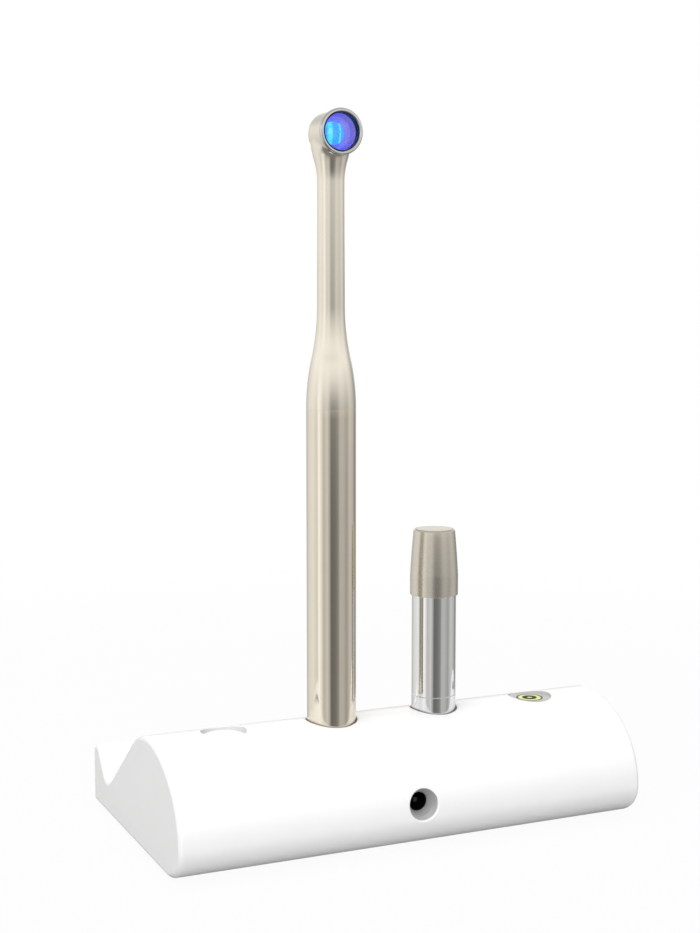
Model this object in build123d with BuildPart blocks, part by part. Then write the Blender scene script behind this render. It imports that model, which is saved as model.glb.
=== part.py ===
from build123d import *

import os
from math import acos, atan2, cos, degrees, hypot, radians, sin, sqrt, tan

# Dental LED curing light: a slim cordless handpiece stands tail down in its charging base, and a
# spare battery pack charges beside it. Sizes are in millimetres. The origin is on the table under
# the middle of the base. +X runs along the base to the right, +Y to its back and +Z up.

# Charging base, outside
base_length = 152.0
base_depth = 89.5
crest_height = 36.5
nose_height = 11.0            # height of the foremost line of the hump
hump_nose = 29.0              # from the crest line forward to the foremost line
hump_back_radius = 28.8
valley_height = 9.46          # corner where the fall behind the hump meets the rise to the lip
valley_setback = 15.2         # from the back wall to that corner
valley_radius = 5.0
lip_height = 20.0
lip_depth = 5.6
lip_front_radius = 4.0
lip_back_radius = 3.4
heel_radius = 1.5
end_radius = 1.5              # rounding along both ends
foot_proud = 0.8              # the feet hold the housing this far off the table

# Charging base, shell and underside
wall = 2.5
inner_round = 0.5
plate_inset = 8.0             # from the housing's ends to the plate
plate_margin = 3.9            # from the edges of the flat underside to the plate
plate_thickness = 2.2
plate_corner = 5.0
ledge_end = 8.0
ledge_side = 3.0
ledge_thickness = 1.5
plate_gap = 0.15
foot_diameter = 10.0
foot_recess = 1.0
foot_inset = 16.0             # feet in from the plate's ends
foot_side_inset = 8.0
screw_inset = 4.2
screw_shank = 3.0
screw_head = 5.4
screw_length = 9.0
screw_boss = 6.6
screw_boss_height = 9.0

# Row of wells and dishes along the crest
row_end = 23.5                # from the housing's ends to the dishes' centres
well_gap = 0.4
cup_wall = 1.6
cup_floor = 2.0
pad_thickness = 1.2
ring_wall = 1.2
ring_height = 1.6
rim_round = 0.5

# Battery pack
can_diameter = 13.8
can_wall = 0.4
can_end = 0.6
can_gap = 0.5                 # round the can in the charging well
cap_diameter = 15.0
cap_height = 20.8
cap_straight = 8.0            # full-diameter stretch of the cap
cap_top_diameter = 12.9
cap_top_round = 1.0
cap_dome = 0.35
cap_socket = 5.0              # the can goes this far into the cap
can_visible = 59.7            # from the can's contact end to the cap
seam_height = 28.1
seam_width = 0.3
seam_depth = 0.15
cell_diameter = 12.8
cell_length = 50.0
cell_board_thickness = 1.0
tip_diameter = 3.0
tip_proud = 1.2
tip_head = 6.0
tip_head_thickness = 0.6
insulator_neck = 5.8
insulator_flange = 10.0
insulator_thickness = 1.0

# Charging contacts
spare_depth = 24.0            # the can stands this deep in its well
contact_ring_height = 3.0
contact_ring_bore = 10.6
holder_diameter = 8.0
holder_rise = 1.0             # pin holder above the cup's floor
pin_diameter = 2.4
pin_flange = 3.4
pin_flange_thickness = 0.8
pin_guide = 0.9
pin_slide_gap = 0.08
pin_travel = 0.8
spring_wire = 0.35
spring_turns = 4
strip_width = 1.6
strip_thickness = 0.5
strip_rise = 1.5              # contact strips above the underside plate
strip_gap = 0.5

# Charger circuit board
board_thickness = 1.6
board_rise = 4.4              # posts between the underside plate and the board
board_inset = 15.0            # from the housing's ends to the board
board_depth = 21.0
board_front_gap = 2.0         # behind the cups
tab_width = 15.0
tongue_width = 14.0
tongue_setback = 0.4          # behind the face of the inlet body
board_screw = 2.2
board_screw_head = 4.0
board_screw_head_height = 1.4
board_screw_length = 4.0
board_post = 6.0

# Power inlet in the front
inlet_height = 15.0
inlet_mouth = 10.0
inlet_bore = 5.8
inlet_boss = 14.0
inlet_setback = 4.9           # from the nose of the hump to the face of the inlet body
inlet_width = 10.0
inlet_length = 13.0
inlet_top = 4.6               # inlet body above its bore's axis
inlet_bore_length = 10.0
inlet_pin = 2.0
inlet_pin_length = 8.5

# Light meter and status window
dish_diameter = 14.0
boss_diameter = 18.0
boss_bottom = 31.0
sensor_well = 7.0
small_board_diameter = 17.0
ribbon_width = 5.0
ribbon_thickness = 0.4
ribbon_setback = 7.0          # behind the crest line
meter_seat = 34.5
meter_bore = 8.6
meter_funnel = 13.0
meter_funnel_bottom = 35.5
meter_window_thickness = 0.8
aperture_diameter = 4.7
aperture_bore = 1.7
aperture_thickness = 0.25
sensor_size = 3.6
sensor_height = 1.4
status_floor = 35.4
status_diameter = 11.6
status_thickness = 1.8
status_light_size = 3.2
status_light_height = 1.2
capacitor_diameter = 5.0
capacitor_height = 6.0

# Handpiece
barrel_diameter = 15.0
barrel_bore = 14.0
barrel_length = 104.3
neck_diameter = 8.3
flare_length = 30.7
head_swell_drop = 13.9        # below the head's axis, where the neck starts to swell
head_flare_radius = 22.0
head_flare = 1.05             # how far that radius carries the neck's wall out
neck_top_radius = 5.8         # where it stands upright again inside the head
spigot_length = 5.0
spigot_bore = 11.0
neck_bore = 5.6
head_height = 185.4           # from the barrel's lower end to the head's axis
head_diameter = 12.6
head_back = 6.0
head_back_round = 4.5
head_bore = 11.6
head_cavity_back = 1.8        # from the handpiece's axis back to the bore's floor
bezel_diameter = 13.5
bezel_length = 1.5
head_front = 8.5              # from the handpiece's axis to the face of the bezel
bezel_round = 0.5
bezel_bore = 11.2
liner_bore = 10.4
liner_setback = 0.2
lens_edge = 1.5
lens_bulge = 0.5
inner_lens_diameter = 7.0     # clear dome moulded over the chips
inner_lens_edge = 0.4
inner_lens_rise = 1.1
inner_lens_gap = 0.15         # round the dome in the reflector's throat
light_board_diameter = 11.2
light_board_thickness = 0.8
chip_size = 1.5
chip_pitch = 1.9
chip_height = 0.5
stem_diameter = 2.2           # heat sink's stem, down the neck
stem_offset = 0.6
heat_sink_thickness = 2.4
lead_diameter = 0.9
lead_pitch = 1.2
lead_offset = 1.6

# Handpiece electronics and buttons
contact_length = 3.1
contact_diameter = 4.0
carrier_disc = 1.3
driver_width = 10.5
driver_thickness = 1.2
driver_offset = -0.2
driver_margin = 0.4
driver_chip = 5.0
driver_chip_height = 1.0
lead_hole = 6.4
power_setback = 14.3          # from the barrel's upper end down to the power button
button_pitch = 11.0           # from the power button down to the mode button
power_diameter = 6.2
mode_diameter = 5.0
button_gap = 0.1
button_proud = 0.15
button_travel = 0.3
button_flange_width = 0.7
button_flange_thickness = 0.6
flange_gap = 0.01             # the flange is held up against the barrel's wall
button_stem = 2.4
switch_size = 3.5
switch_height = 2.2
switch_gap = 0.35

# Places worked out from the sizes above
nose_y = -base_depth / 2
hump_rise = crest_height - nose_height
half_right = sin(radians(45))
# The front of the hump is two arcs that meet tangent at 45 degrees, between its nose and its crest
crest_radius = (hump_nose * half_right - hump_rise * (1 - half_right)) / (2 * half_right - 1)
nose_radius = (hump_rise * half_right - hump_nose * (1 - half_right)) / (2 * half_right - 1)
back_y = base_depth / 2
crest_y = nose_y + hump_nose
# The fall behind the hump touches its back arc and runs to the corner of the valley
valley_y = back_y - valley_setback
arc_centre_z = crest_height - hump_back_radius
valley_reach = hypot(valley_y - crest_y, valley_height - arc_centre_z)
valley_bearing = atan2(valley_y - crest_y, valley_height - arc_centre_z)
back_fall = valley_bearing - acos(hump_back_radius / valley_reach)
underside = foot_proud
plate_top = underside + plate_thickness
cavity_floor = plate_top + ledge_thickness
foot_radius = nose_height - underside
flat_front = nose_y + foot_radius
flat_back = back_y - heel_radius
plate_y = (flat_front + flat_back) / 2
plate_depth = flat_back - flat_front - 2 * plate_margin
plate_length = base_length - 2 * plate_inset
board_length = base_length - 2 * board_inset
row_pitch = (base_length - 2 * row_end) / 3
hand_x = -row_pitch / 2
spare_x = row_pitch / 2
meter_x = 1.5 * row_pitch
status_x = -1.5 * row_pitch
tail_z = plate_top + cup_floor + pad_thickness
barrel_z = tail_z + cap_height
spare_z = crest_height - spare_depth
tip_z = spare_z - tip_proud
ring_z = spare_z - contact_ring_height
holder_top = ring_z + holder_rise
strip_top = plate_top + strip_rise + strip_thickness
well_bore = barrel_diameter + 2 * well_gap
spare_bore = can_diameter + 2 * can_gap
board_z = plate_top + board_rise
board_top = board_z + board_thickness
cup_diameter = max(well_bore, spare_bore) + 2 * cup_wall
board_y = crest_y + cup_diameter / 2 + board_front_gap + board_depth / 2
inlet_face_y = nose_y + inlet_setback
board_front = board_y - board_depth / 2
strip_end = board_front + strip_width
head_z = barrel_z + head_height
power_height = barrel_length - power_setback
mode_height = power_height - button_pitch
cell_end = can_end + insulator_thickness + tip_head_thickness


def crossing(first, second):
    """Point where two lines, each a start point and a direction, cross in the side view."""
    (p, d), (q, e) = first, second
    along = ((q.X - p.X) * e.Y - (q.Y - p.Y) * e.X) / (d.X * e.Y - d.Y * e.X)
    return p + d * along


def draw_base_section(inset):
    """Side outline of the base, or the same outline drawn inwards by inset."""
    join = Vector(crest_y + (hump_back_radius - inset) * sin(back_fall),
                  arc_centre_z + (hump_back_radius - inset) * cos(back_fall))
    valley = Vector(valley_y, valley_height)
    rise = (Vector(back_y - lip_depth, lip_height) - valley).normalized()
    slope_line = (join, Vector(cos(back_fall), -sin(back_fall)))
    rise_line = (valley + Vector(rise.Y, -rise.X) * inset, rise)
    top_line = (Vector(0, lip_height - inset), Vector(1, 0))
    corners = [
        join,
        crossing(slope_line, rise_line),
        crossing(rise_line, top_line),
        (back_y - inset, lip_height - inset),
        (back_y - inset, underside + inset),
        (nose_y + foot_radius, underside + inset),
    ]
    inner = [max(radius - inset, inner_round) for radius in (lip_front_radius, lip_back_radius, heel_radius)]
    with BuildLine() as outline:
        FilletPolyline(*corners, radius=[valley_radius + inset] + inner)
        CenterArc((crest_y, arc_centre_z), hump_back_radius - inset, 90 - degrees(back_fall),
                  degrees(back_fall))
        CenterArc((crest_y, crest_height - crest_radius), crest_radius - inset, 90, 45)
        CenterArc((nose_y + nose_radius, nose_height), nose_radius - inset, 135, 45)
        CenterArc((nose_y + foot_radius, nose_height), foot_radius - inset, 180, 90)
    make_face(outline.edges())


def corners_of(length, depth, y):
    """Centres of a rectangle's four corners about the base's middle line."""
    return [(x, y + side) for x in (-length / 2, length / 2) for side in (-depth / 2, depth / 2)]


def save(piece, name):
    """Name a finished piece and write it."""
    piece.part.label = name
    export_step(piece.part, f"parts/{name}.step")


os.makedirs("parts", exist_ok=True)
screw_places = corners_of(plate_length - 2 * screw_inset, plate_depth - 2 * screw_inset, plate_y)
foot_places = corners_of(plate_length - 2 * foot_inset, plate_depth - 2 * foot_side_inset, plate_y)
post_places = corners_of(board_length - 2 * board_post, board_depth - board_post, board_y)

# Housing: the outline extruded, hollowed and opened for the wells, dishes, inlet and plate
with BuildPart() as base_housing:
    with BuildSketch(Plane.YZ):
        draw_base_section(0)
    extrude(amount=base_length / 2, both=True)
    fillet(base_housing.faces().filter_by(Axis.X).edges(), end_radius)
    with BuildSketch(Plane.YZ):
        draw_base_section(wall)
        with Locations((0, cavity_floor / 2)):
            Rectangle(2 * base_depth, cavity_floor, mode=Mode.SUBTRACT)
    extrude(amount=base_length / 2 - wall, both=True, mode=Mode.SUBTRACT)
    with BuildSketch(Plane.XY.offset(underside)):
        with Locations((0, plate_y)):
            RectangleRounded(plate_length + 2 * plate_gap, plate_depth + 2 * plate_gap, plate_corner)
    extrude(amount=plate_thickness, mode=Mode.SUBTRACT)
    with BuildSketch(Plane.XY.offset(underside)):
        with Locations((0, plate_y)):
            Rectangle(plate_length - 2 * ledge_end, plate_depth - 2 * ledge_side)
    extrude(amount=cavity_floor - underside, mode=Mode.SUBTRACT)
    with BuildSketch(Plane.XY.offset(plate_top)):
        with Locations(*screw_places):
            Circle(screw_boss / 2)
    extrude(amount=screw_boss_height)
    with BuildSketch(Plane.XY.offset(plate_top)):
        with Locations(*screw_places):
            Circle(screw_shank / 2)
    extrude(amount=screw_length - plate_thickness, mode=Mode.SUBTRACT)
    with BuildSketch(Plane.XY.offset(boss_bottom)):
        with Locations((status_x, crest_y), (meter_x, crest_y)):
            Circle(boss_diameter / 2)
    extrude(amount=crest_height - wall - boss_bottom + inner_round)
    with BuildSketch(Plane.XZ.offset(-inlet_face_y)):
        with Locations((0, inlet_height)):
            Circle(inlet_boss / 2)
    extrude(amount=inlet_setback - wall)
    with BuildSketch(Plane.XY.offset(boss_bottom)):
        with Locations((hand_x, crest_y)):
            Circle(well_bore / 2)
        with Locations((spare_x, crest_y)):
            Circle(spare_bore / 2)
        with Locations((status_x, crest_y), (meter_x, crest_y)):
            Circle(sensor_well / 2)
    extrude(amount=crest_height - boss_bottom, mode=Mode.SUBTRACT)
    with BuildSketch(Plane.XY.offset(status_floor)):
        with Locations((status_x, crest_y)):
            Circle(status_diameter / 2)
    extrude(amount=-status_thickness, mode=Mode.SUBTRACT)
    with BuildSketch(Plane.XY.offset(status_floor)) as status_rim:
        with Locations((status_x, crest_y)):
            Circle(status_diameter / 2)
    with BuildSketch(Plane.XY.offset(crest_height)):
        with Locations((status_x, crest_y)):
            Circle(dish_diameter / 2)
    loft(mode=Mode.SUBTRACT)
    with BuildSketch(Plane.XY.offset(meter_seat)):
        with Locations((meter_x, crest_y)):
            Circle(dish_diameter / 2)
    extrude(amount=crest_height - meter_seat, mode=Mode.SUBTRACT)
    with BuildSketch(Plane.XZ.offset(-inlet_face_y)):
        with Locations((0, inlet_height)):
            Circle(inlet_bore / 2)
    with BuildSketch(Plane.XZ.offset(-nose_y)):
        with Locations((0, inlet_height)):
            Circle(inlet_mouth / 2)
    loft(mode=Mode.SUBTRACT)
    for x, radius in ((hand_x, well_bore / 2), (spare_x, spare_bore / 2)):
        rims = base_housing.edges().filter_by_position(Axis.Z, crest_height - wall / 2, crest_height)
        rims = rims.filter_by_position(Axis.X, x - radius - end_radius, x + radius + end_radius)
        fillet(rims.filter_by(GeomType.BSPLINE), rim_round)
save(base_housing, "base_housing")

# Underside plate: posts for the board, rings round the cups, recesses for feet and screw heads
with BuildPart() as bottom_plate:
    with BuildSketch(Plane.XY.offset(underside)):
        with Locations((0, plate_y)):
            RectangleRounded(plate_length, plate_depth, plate_corner)
    extrude(amount=plate_thickness)
    with BuildSketch(Plane.XY.offset(plate_top)):
        with Locations(*post_places):
            Circle(board_post / 2)
    extrude(amount=board_rise)
    with BuildSketch(Plane.XY.offset(plate_top)):
        with Locations((hand_x, crest_y), (spare_x, crest_y)):
            Circle(cup_diameter / 2 + ring_wall)
            Circle(cup_diameter / 2, mode=Mode.SUBTRACT)
        with Locations((spare_x, crest_y + cup_diameter / 2)):
            Rectangle(3 * strip_width + 1, 2 * ring_wall + 2, mode=Mode.SUBTRACT)
    extrude(amount=ring_height)
    with BuildSketch(Plane.XY.offset(board_z)):
        with Locations(*post_places):
            Circle(board_screw / 2)
    extrude(amount=board_thickness - board_screw_length, mode=Mode.SUBTRACT)
    with BuildSketch(Plane.XY.offset(underside)):
        with Locations(*foot_places):
            Circle(foot_diameter / 2)
    extrude(amount=foot_recess, mode=Mode.SUBTRACT)
    with Locations(Plane.XY.offset(underside) * Rot(180, 0, 0)):
        with Locations(*[(x, -y) for x, y in screw_places]):
            CounterSinkHole(screw_shank / 2, screw_head / 2)
save(bottom_plate, "bottom_plate")

# Rubber feet
with BuildPart() as rubber_feet:
    with BuildSketch():
        with Locations(*foot_places):
            Circle(foot_diameter / 2)
    extrude(amount=foot_proud + foot_recess)
    chamfer(rubber_feet.faces().sort_by(Axis.Z)[:4].edges(), 0.4 * foot_proud)
save(rubber_feet, "rubber_feet")

# Countersunk screws of the underside plate
head_drop = (screw_head - screw_shank) / 2
with BuildPart() as plate_screws:
    with BuildSketch(Plane.XY.offset(underside)):
        with Locations(*screw_places):
            Circle(screw_shank / 2)
    extrude(amount=screw_length)
    for x, y in screw_places:
        with BuildSketch(Plane((x, y, underside))):
            Circle(screw_head / 2)
        with BuildSketch(Plane((x, y, underside + head_drop))):
            Circle(screw_shank / 2)
        loft()
        with BuildSketch(Plane((x, y, underside))):
            Rectangle(0.6 * screw_head, 0.16 * screw_head)
            Rectangle(0.16 * screw_head, 0.6 * screw_head)
        extrude(amount=0.7 * head_drop, mode=Mode.SUBTRACT)
save(plate_screws, "plate_screws")

# Handpiece cup: stands on the plate and ends under the housing's crest
with BuildPart() as handpiece_cup:
    with BuildSketch(Plane.XY.offset(plate_top)):
        with Locations((hand_x, crest_y)):
            Circle(cup_diameter / 2)
    extrude(amount=crest_height - plate_top)
    with BuildSketch(Plane.XY.offset(plate_top + cup_floor)):
        with Locations((hand_x, crest_y)):
            Circle(well_bore / 2)
    extrude(amount=crest_height, mode=Mode.SUBTRACT)
    with BuildSketch(Plane.YZ):
        draw_base_section(wall)
        with Locations((0, plate_top)):
            Rectangle(base_depth, 2 * ledge_thickness)
    extrude(amount=base_length, both=True, mode=Mode.INTERSECT)
save(handpiece_cup, "handpiece_cup")

with BuildPart() as cup_pad:
    with BuildSketch(Plane.XY.offset(plate_top + cup_floor)):
        with Locations((hand_x, crest_y)):
            Circle(well_bore / 2 - button_gap)
    extrude(amount=pad_thickness)
save(cup_pad, "cup_pad")

# Charging cup: its thick floor holds the sprung pin and carries the ring that the can stands on
pin_place = Plane((spare_x, crest_y, strip_top))
minus_x = strip_width + strip_gap
minus_y = (contact_ring_bore + spare_bore) / 4
with BuildPart() as charging_cup:
    with BuildSketch(Plane.XY.offset(plate_top)):
        with Locations((spare_x, crest_y)):
            Circle(cup_diameter / 2)
    extrude(amount=crest_height - plate_top)
    with BuildSketch(Plane.XY.offset(ring_z)):
        with Locations((spare_x, crest_y)):
            Circle(spare_bore / 2)
    extrude(amount=crest_height, mode=Mode.SUBTRACT)
    with BuildSketch(pin_place):
        Circle(holder_diameter / 2)
    extrude(amount=ring_z - strip_top, mode=Mode.SUBTRACT)
    with BuildSketch(Plane.XY.offset(plate_top + strip_rise)):
        with Locations((spare_x + minus_x / 2, crest_y + cup_diameter / 2 - strip_width)):
            Rectangle(minus_x + 2 * strip_width, cup_diameter)
    extrude(amount=strip_thickness, mode=Mode.SUBTRACT)
    with BuildSketch(Plane.XY.offset(strip_top)):
        with Locations((spare_x + minus_x, crest_y + minus_y)):
            Rectangle(strip_width, strip_thickness)
    extrude(amount=ring_z - strip_top, mode=Mode.SUBTRACT)
    with BuildSketch(Plane.YZ):
        draw_base_section(wall)
        with Locations((0, plate_top)):
            Rectangle(base_depth, 2 * ledge_thickness)
    extrude(amount=base_length, both=True, mode=Mode.INTERSECT)
save(charging_cup, "charging_cup")

with BuildPart() as contact_ring:
    with BuildSketch(Plane.XY.offset(ring_z)):
        with Locations((spare_x, crest_y)):
            Circle(spare_bore / 2)
            Circle(contact_ring_bore / 2, mode=Mode.SUBTRACT)
    extrude(amount=contact_ring_height)
save(contact_ring, "contact_ring")

with BuildPart() as pin_holder:
    with BuildSketch(pin_place):
        Circle(holder_diameter / 2)
        Circle(pin_flange / 2 + pin_slide_gap, mode=Mode.SUBTRACT)
    extrude(amount=holder_top - pin_guide - strip_top)
    with BuildSketch(Plane((spare_x, crest_y, holder_top - pin_guide))):
        Circle(holder_diameter / 2)
        Circle(pin_diameter / 2 + pin_slide_gap, mode=Mode.SUBTRACT)
    extrude(amount=pin_guide)
    chamfer(pin_holder.faces().sort_by(Axis.Z)[-1].edges().sort_by(SortBy.RADIUS)[-1], pin_guide / 3)
save(pin_holder, "pin_holder")

# Sprung pin: its flange is held up against the holder's guide
flange_top = holder_top - pin_guide
with BuildPart() as charge_pin:
    with BuildSketch(Plane((spare_x, crest_y, flange_top - pin_flange_thickness))):
        Circle(pin_flange / 2)
    extrude(amount=pin_flange_thickness)
    with BuildSketch(Plane((spare_x, crest_y, flange_top))):
        Circle(pin_diameter / 2)
    extrude(amount=tip_z - flange_top)
    fillet(charge_pin.faces().sort_by(Axis.Z)[-1].edges(), pin_diameter / 6)
save(charge_pin, "charge_pin")

# Pin spring, drawn at its pressed height, so that it stays under the flange over the whole travel
spring_height = flange_top - pin_flange_thickness - pin_travel - strip_top - pin_slide_gap
with BuildPart() as pin_spring:
    with BuildLine() as coil:
        Helix(
            pitch=(spring_height - spring_wire) / spring_turns,
            height=spring_height - spring_wire,
            radius=(pin_flange - spring_wire) / 2 - pin_slide_gap,
            center=(spare_x, crest_y, strip_top + spring_wire / 2),
        )
    with BuildSketch(Plane(coil.line @ 0, z_dir=coil.line % 0)):
        Circle(spring_wire / 2)
    sweep(is_frenet=True)
save(pin_spring, "pin_spring")

# Contact strips: one has a round seat for the spring, one goes up to the ring, and both to the board
with BuildPart() as contact_strips:
    with BuildSketch(Plane((spare_x, crest_y, plate_top + strip_rise))):
        Circle(strip_width)
    extrude(amount=strip_thickness)
    for x, start, top in ((0, 0, strip_top), (minus_x, minus_y, ring_z)):
        run = strip_end - crest_y - start
        with BuildSketch(Plane((spare_x + x, crest_y + start, plate_top + strip_rise))):
            with Locations((0, run / 2)):
                Rectangle(strip_width, run + strip_thickness)
        extrude(amount=strip_thickness)
        with BuildSketch(Plane((spare_x + x, crest_y + start, plate_top + strip_rise))):
            Rectangle(strip_width, strip_thickness)
        extrude(amount=top - plate_top - strip_rise)
        with BuildSketch(Plane((spare_x + x, strip_end, plate_top + strip_rise))):
            Rectangle(strip_width, strip_thickness)
        extrude(amount=board_z - plate_top - strip_rise)
save(contact_strips, "contact_strips")

# Charger board: a bar behind the cups, with a tongue for the inlet and tabs for the ribbons
tab_front = crest_y + ribbon_setback - ribbon_width / 2
tongue_front = inlet_face_y + tongue_setback
with BuildPart() as charger_board:
    with BuildSketch(Plane.XY.offset(board_z)):
        with Locations((0, board_y)):
            Rectangle(board_length, board_depth)
        with Locations((0, (tongue_front + board_front) / 2)):
            Rectangle(tongue_width, board_front - tongue_front)
        with Locations(*[(x, (tab_front + board_front) / 2) for x in (status_x, meter_x)]):
            Rectangle(tab_width, board_front - tab_front)
        with Locations(*post_places):
            Circle(board_screw / 2, mode=Mode.SUBTRACT)
    extrude(amount=board_thickness)
save(charger_board, "charger_board")

with BuildPart() as board_screws:
    with BuildSketch(Plane.XY.offset(board_top)):
        with Locations(*post_places):
            Circle(board_screw_head / 2)
    extrude(amount=board_screw_head_height)
    with BuildSketch(Plane.XY.offset(board_top)):
        with Locations(*post_places):
            Circle(board_screw / 2)
    extrude(amount=-board_screw_length)
save(board_screws, "board_screws")

with BuildPart() as charge_controller:
    with BuildSketch(Plane((0, board_y, board_top))):
        Rectangle(driver_chip, driver_chip)
    extrude(amount=driver_chip_height)
save(charge_controller, "charge_controller")

with BuildPart() as filter_capacitor:
    with BuildSketch(Plane((-spare_x, board_y, board_top))):
        Circle(capacitor_diameter / 2)
    extrude(amount=capacitor_height)
    fillet(filter_capacitor.faces().sort_by(Axis.Z)[-1].edges(), 0.1 * capacitor_diameter)
save(filter_capacitor, "filter_capacitor")

# Power inlet: a block on the board's tongue, bored from the front round its pin
inlet_plane = Plane((0, inlet_face_y, inlet_height), x_dir=(1, 0, 0), z_dir=(0, 1, 0))
inlet_block_height = inlet_height + inlet_top - board_top
with BuildPart() as inlet_body:
    with BuildSketch(Plane((0, inlet_face_y + inlet_length / 2, board_top))):
        Rectangle(inlet_width, inlet_length)
    extrude(amount=inlet_block_height)
    chamfer(inlet_body.edges().filter_by(Axis.Y).sort_by(Axis.Z)[-2:], inlet_width / 10)
    with BuildSketch(inlet_plane):
        Circle(inlet_bore / 2)
    extrude(amount=inlet_bore_length, mode=Mode.SUBTRACT)
save(inlet_body, "inlet_body")

with BuildPart() as inlet_contact_pin:
    with BuildSketch(inlet_plane.offset(inlet_bore_length)):
        Circle(inlet_pin / 2)
    extrude(amount=-inlet_pin_length)
    fillet(inlet_contact_pin.faces().sort_by(Axis.Y)[0].edges(), inlet_pin / 4)
save(inlet_contact_pin, "inlet_contact_pin")

# Light meter at the right: a funnel ring, a filter window, an aperture ring and the sensor
with BuildPart() as meter_dish:
    with BuildSketch(Plane((meter_x, crest_y, meter_seat))):
        Circle(dish_diameter / 2)
    extrude(amount=crest_height - meter_seat)
    with BuildSketch(Plane((meter_x, crest_y, meter_seat))):
        Circle(meter_bore / 2)
    extrude(amount=crest_height - meter_seat, mode=Mode.SUBTRACT)
    with BuildSketch(Plane((meter_x, crest_y, meter_funnel_bottom))):
        Circle(meter_bore / 2)
    with BuildSketch(Plane((meter_x, crest_y, crest_height))):
        Circle(meter_funnel / 2)
    loft(mode=Mode.SUBTRACT)
    with BuildSketch(Plane.YZ):
        draw_base_section(0)
    extrude(amount=base_length, both=True, mode=Mode.INTERSECT)
save(meter_dish, "meter_dish")

with BuildPart() as meter_window:
    with BuildSketch(Plane((meter_x, crest_y, meter_seat))):
        Circle(meter_bore / 2 - pin_slide_gap)
    extrude(amount=meter_window_thickness)
save(meter_window, "meter_window")

with BuildPart() as meter_aperture:
    with BuildSketch(Plane((meter_x, crest_y, meter_seat + meter_window_thickness))):
        Circle(aperture_diameter / 2)
        Circle(aperture_bore / 2, mode=Mode.SUBTRACT)
    extrude(amount=aperture_thickness)
save(meter_aperture, "meter_aperture")

# Status window at the left: a round plug whose top is the floor of the shallow dish
with BuildPart() as status_window:
    with BuildSketch(Plane((status_x, crest_y, status_floor - status_thickness))):
        Circle(status_diameter / 2)
    extrude(amount=status_thickness)
save(status_window, "status_window")

# The two small boards under the crest, each with its part on top and its ribbon down to the board
for name, x, part_name, size, height in (
    ("meter", meter_x, "meter_sensor", sensor_size, sensor_height),
    ("status", status_x, "status_light", status_light_size, status_light_height),
):
    with BuildPart() as small_board:
        with BuildSketch(Plane((x, crest_y, boss_bottom))):
            Circle(small_board_diameter / 2)
        extrude(amount=-board_thickness)
    save(small_board, f"{name}_board")
    with BuildPart() as board_part:
        with BuildSketch(Plane((x, crest_y, boss_bottom))):
            Rectangle(size, size)
        extrude(amount=height)
    save(board_part, part_name)
    with BuildPart() as ribbon:
        with BuildSketch(Plane((x, crest_y + ribbon_setback, board_top))):
            Rectangle(ribbon_width, ribbon_thickness)
        extrude(amount=boss_bottom - board_thickness - board_top)
    save(ribbon, f"{name}_ribbon")


def make_battery(prefix, place):
    """Pack whose contact end lies in the given plane, with its tail cap along the plane's axis."""
    side = Plane(place.origin, x_dir=place.x_dir, z_dir=-place.y_dir)
    axis = Axis(place.origin, place.z_dir)
    bore = can_diameter / 2 - can_wall
    can_top = can_visible + cap_socket
    cell_top = cell_end + cell_length
    plug_end = cell_top + cell_board_thickness
    cap_top = can_visible + cap_height

    with BuildPart() as can:
        with BuildSketch(side):
            with BuildLine():
                Polyline(
                    (insulator_neck / 2, 0),
                    (can_diameter / 2, 0),
                    (can_diameter / 2, seam_height - seam_width / 2),
                    (can_diameter / 2 - seam_depth, seam_height),
                    (can_diameter / 2, seam_height + seam_width / 2),
                    (can_diameter / 2, can_top),
                    (bore, can_top),
                    (bore, can_end),
                    (insulator_neck / 2, can_end),
                    close=True,
                )
            make_face()
        revolve(axis=axis)
    save(can, f"{prefix}_battery_can")

    with BuildPart() as cap:
        with BuildSketch(side) as cap_half:
            with BuildLine():
                Polyline(
                    (0, cap_top),
                    (0, plug_end),
                    (bore, plug_end),
                    (bore, can_top),
                    (can_diameter / 2, can_top),
                    (can_diameter / 2, can_visible),
                    (cap_diameter / 2, can_visible),
                    (cap_diameter / 2, can_visible + cap_straight),
                )
                shoulder = (cap_top_diameter / 2, cap_top - cap_dome)
                TangentArc((cap_diameter / 2, can_visible + cap_straight), shoulder, tangent=(0, 1))
                TangentArc((0, cap_top), shoulder, tangent=(1, 0))
            make_face()
            fillet(cap_half.vertices().sort_by_distance(Vector(*shoulder))[0], cap_top_round)
        revolve(axis=axis)
    save(cap, f"{prefix}_battery_cap")

    with BuildPart() as cell:
        with BuildSketch(place.offset(cell_end)):
            Circle(cell_diameter / 2)
        extrude(amount=cell_length)
    save(cell, f"{prefix}_battery_cell")

    with BuildPart() as cell_board:
        with BuildSketch(place.offset(cell_top)):
            Circle(cell_diameter / 2)
        extrude(amount=cell_board_thickness)
    save(cell_board, f"{prefix}_cell_board")

    with BuildPart() as tip:
        with BuildSketch(place.offset(-tip_proud)):
            Circle(tip_diameter / 2)
        extrude(amount=tip_proud + cell_end)
        with BuildSketch(place.offset(cell_end - tip_head_thickness)):
            Circle(tip_head / 2)
        extrude(amount=tip_head_thickness)
    save(tip, f"{prefix}_contact_tip")

    with BuildPart() as insulator:
        with BuildSketch(place):
            Circle(insulator_neck / 2)
        extrude(amount=can_end + insulator_thickness)
        with BuildSketch(place.offset(can_end)):
            Circle(insulator_flange / 2)
        extrude(amount=insulator_thickness)
        with BuildSketch(place):
            Circle(tip_diameter / 2)
        extrude(amount=cell_end, mode=Mode.SUBTRACT)
    save(insulator, f"{prefix}_tip_insulator")


make_battery("spare", Plane((spare_x, crest_y, spare_z)))
make_battery("fitted", Plane((hand_x, crest_y, barrel_z + can_visible), x_dir=(1, 0, 0), z_dir=(0, 0, -1)))

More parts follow.
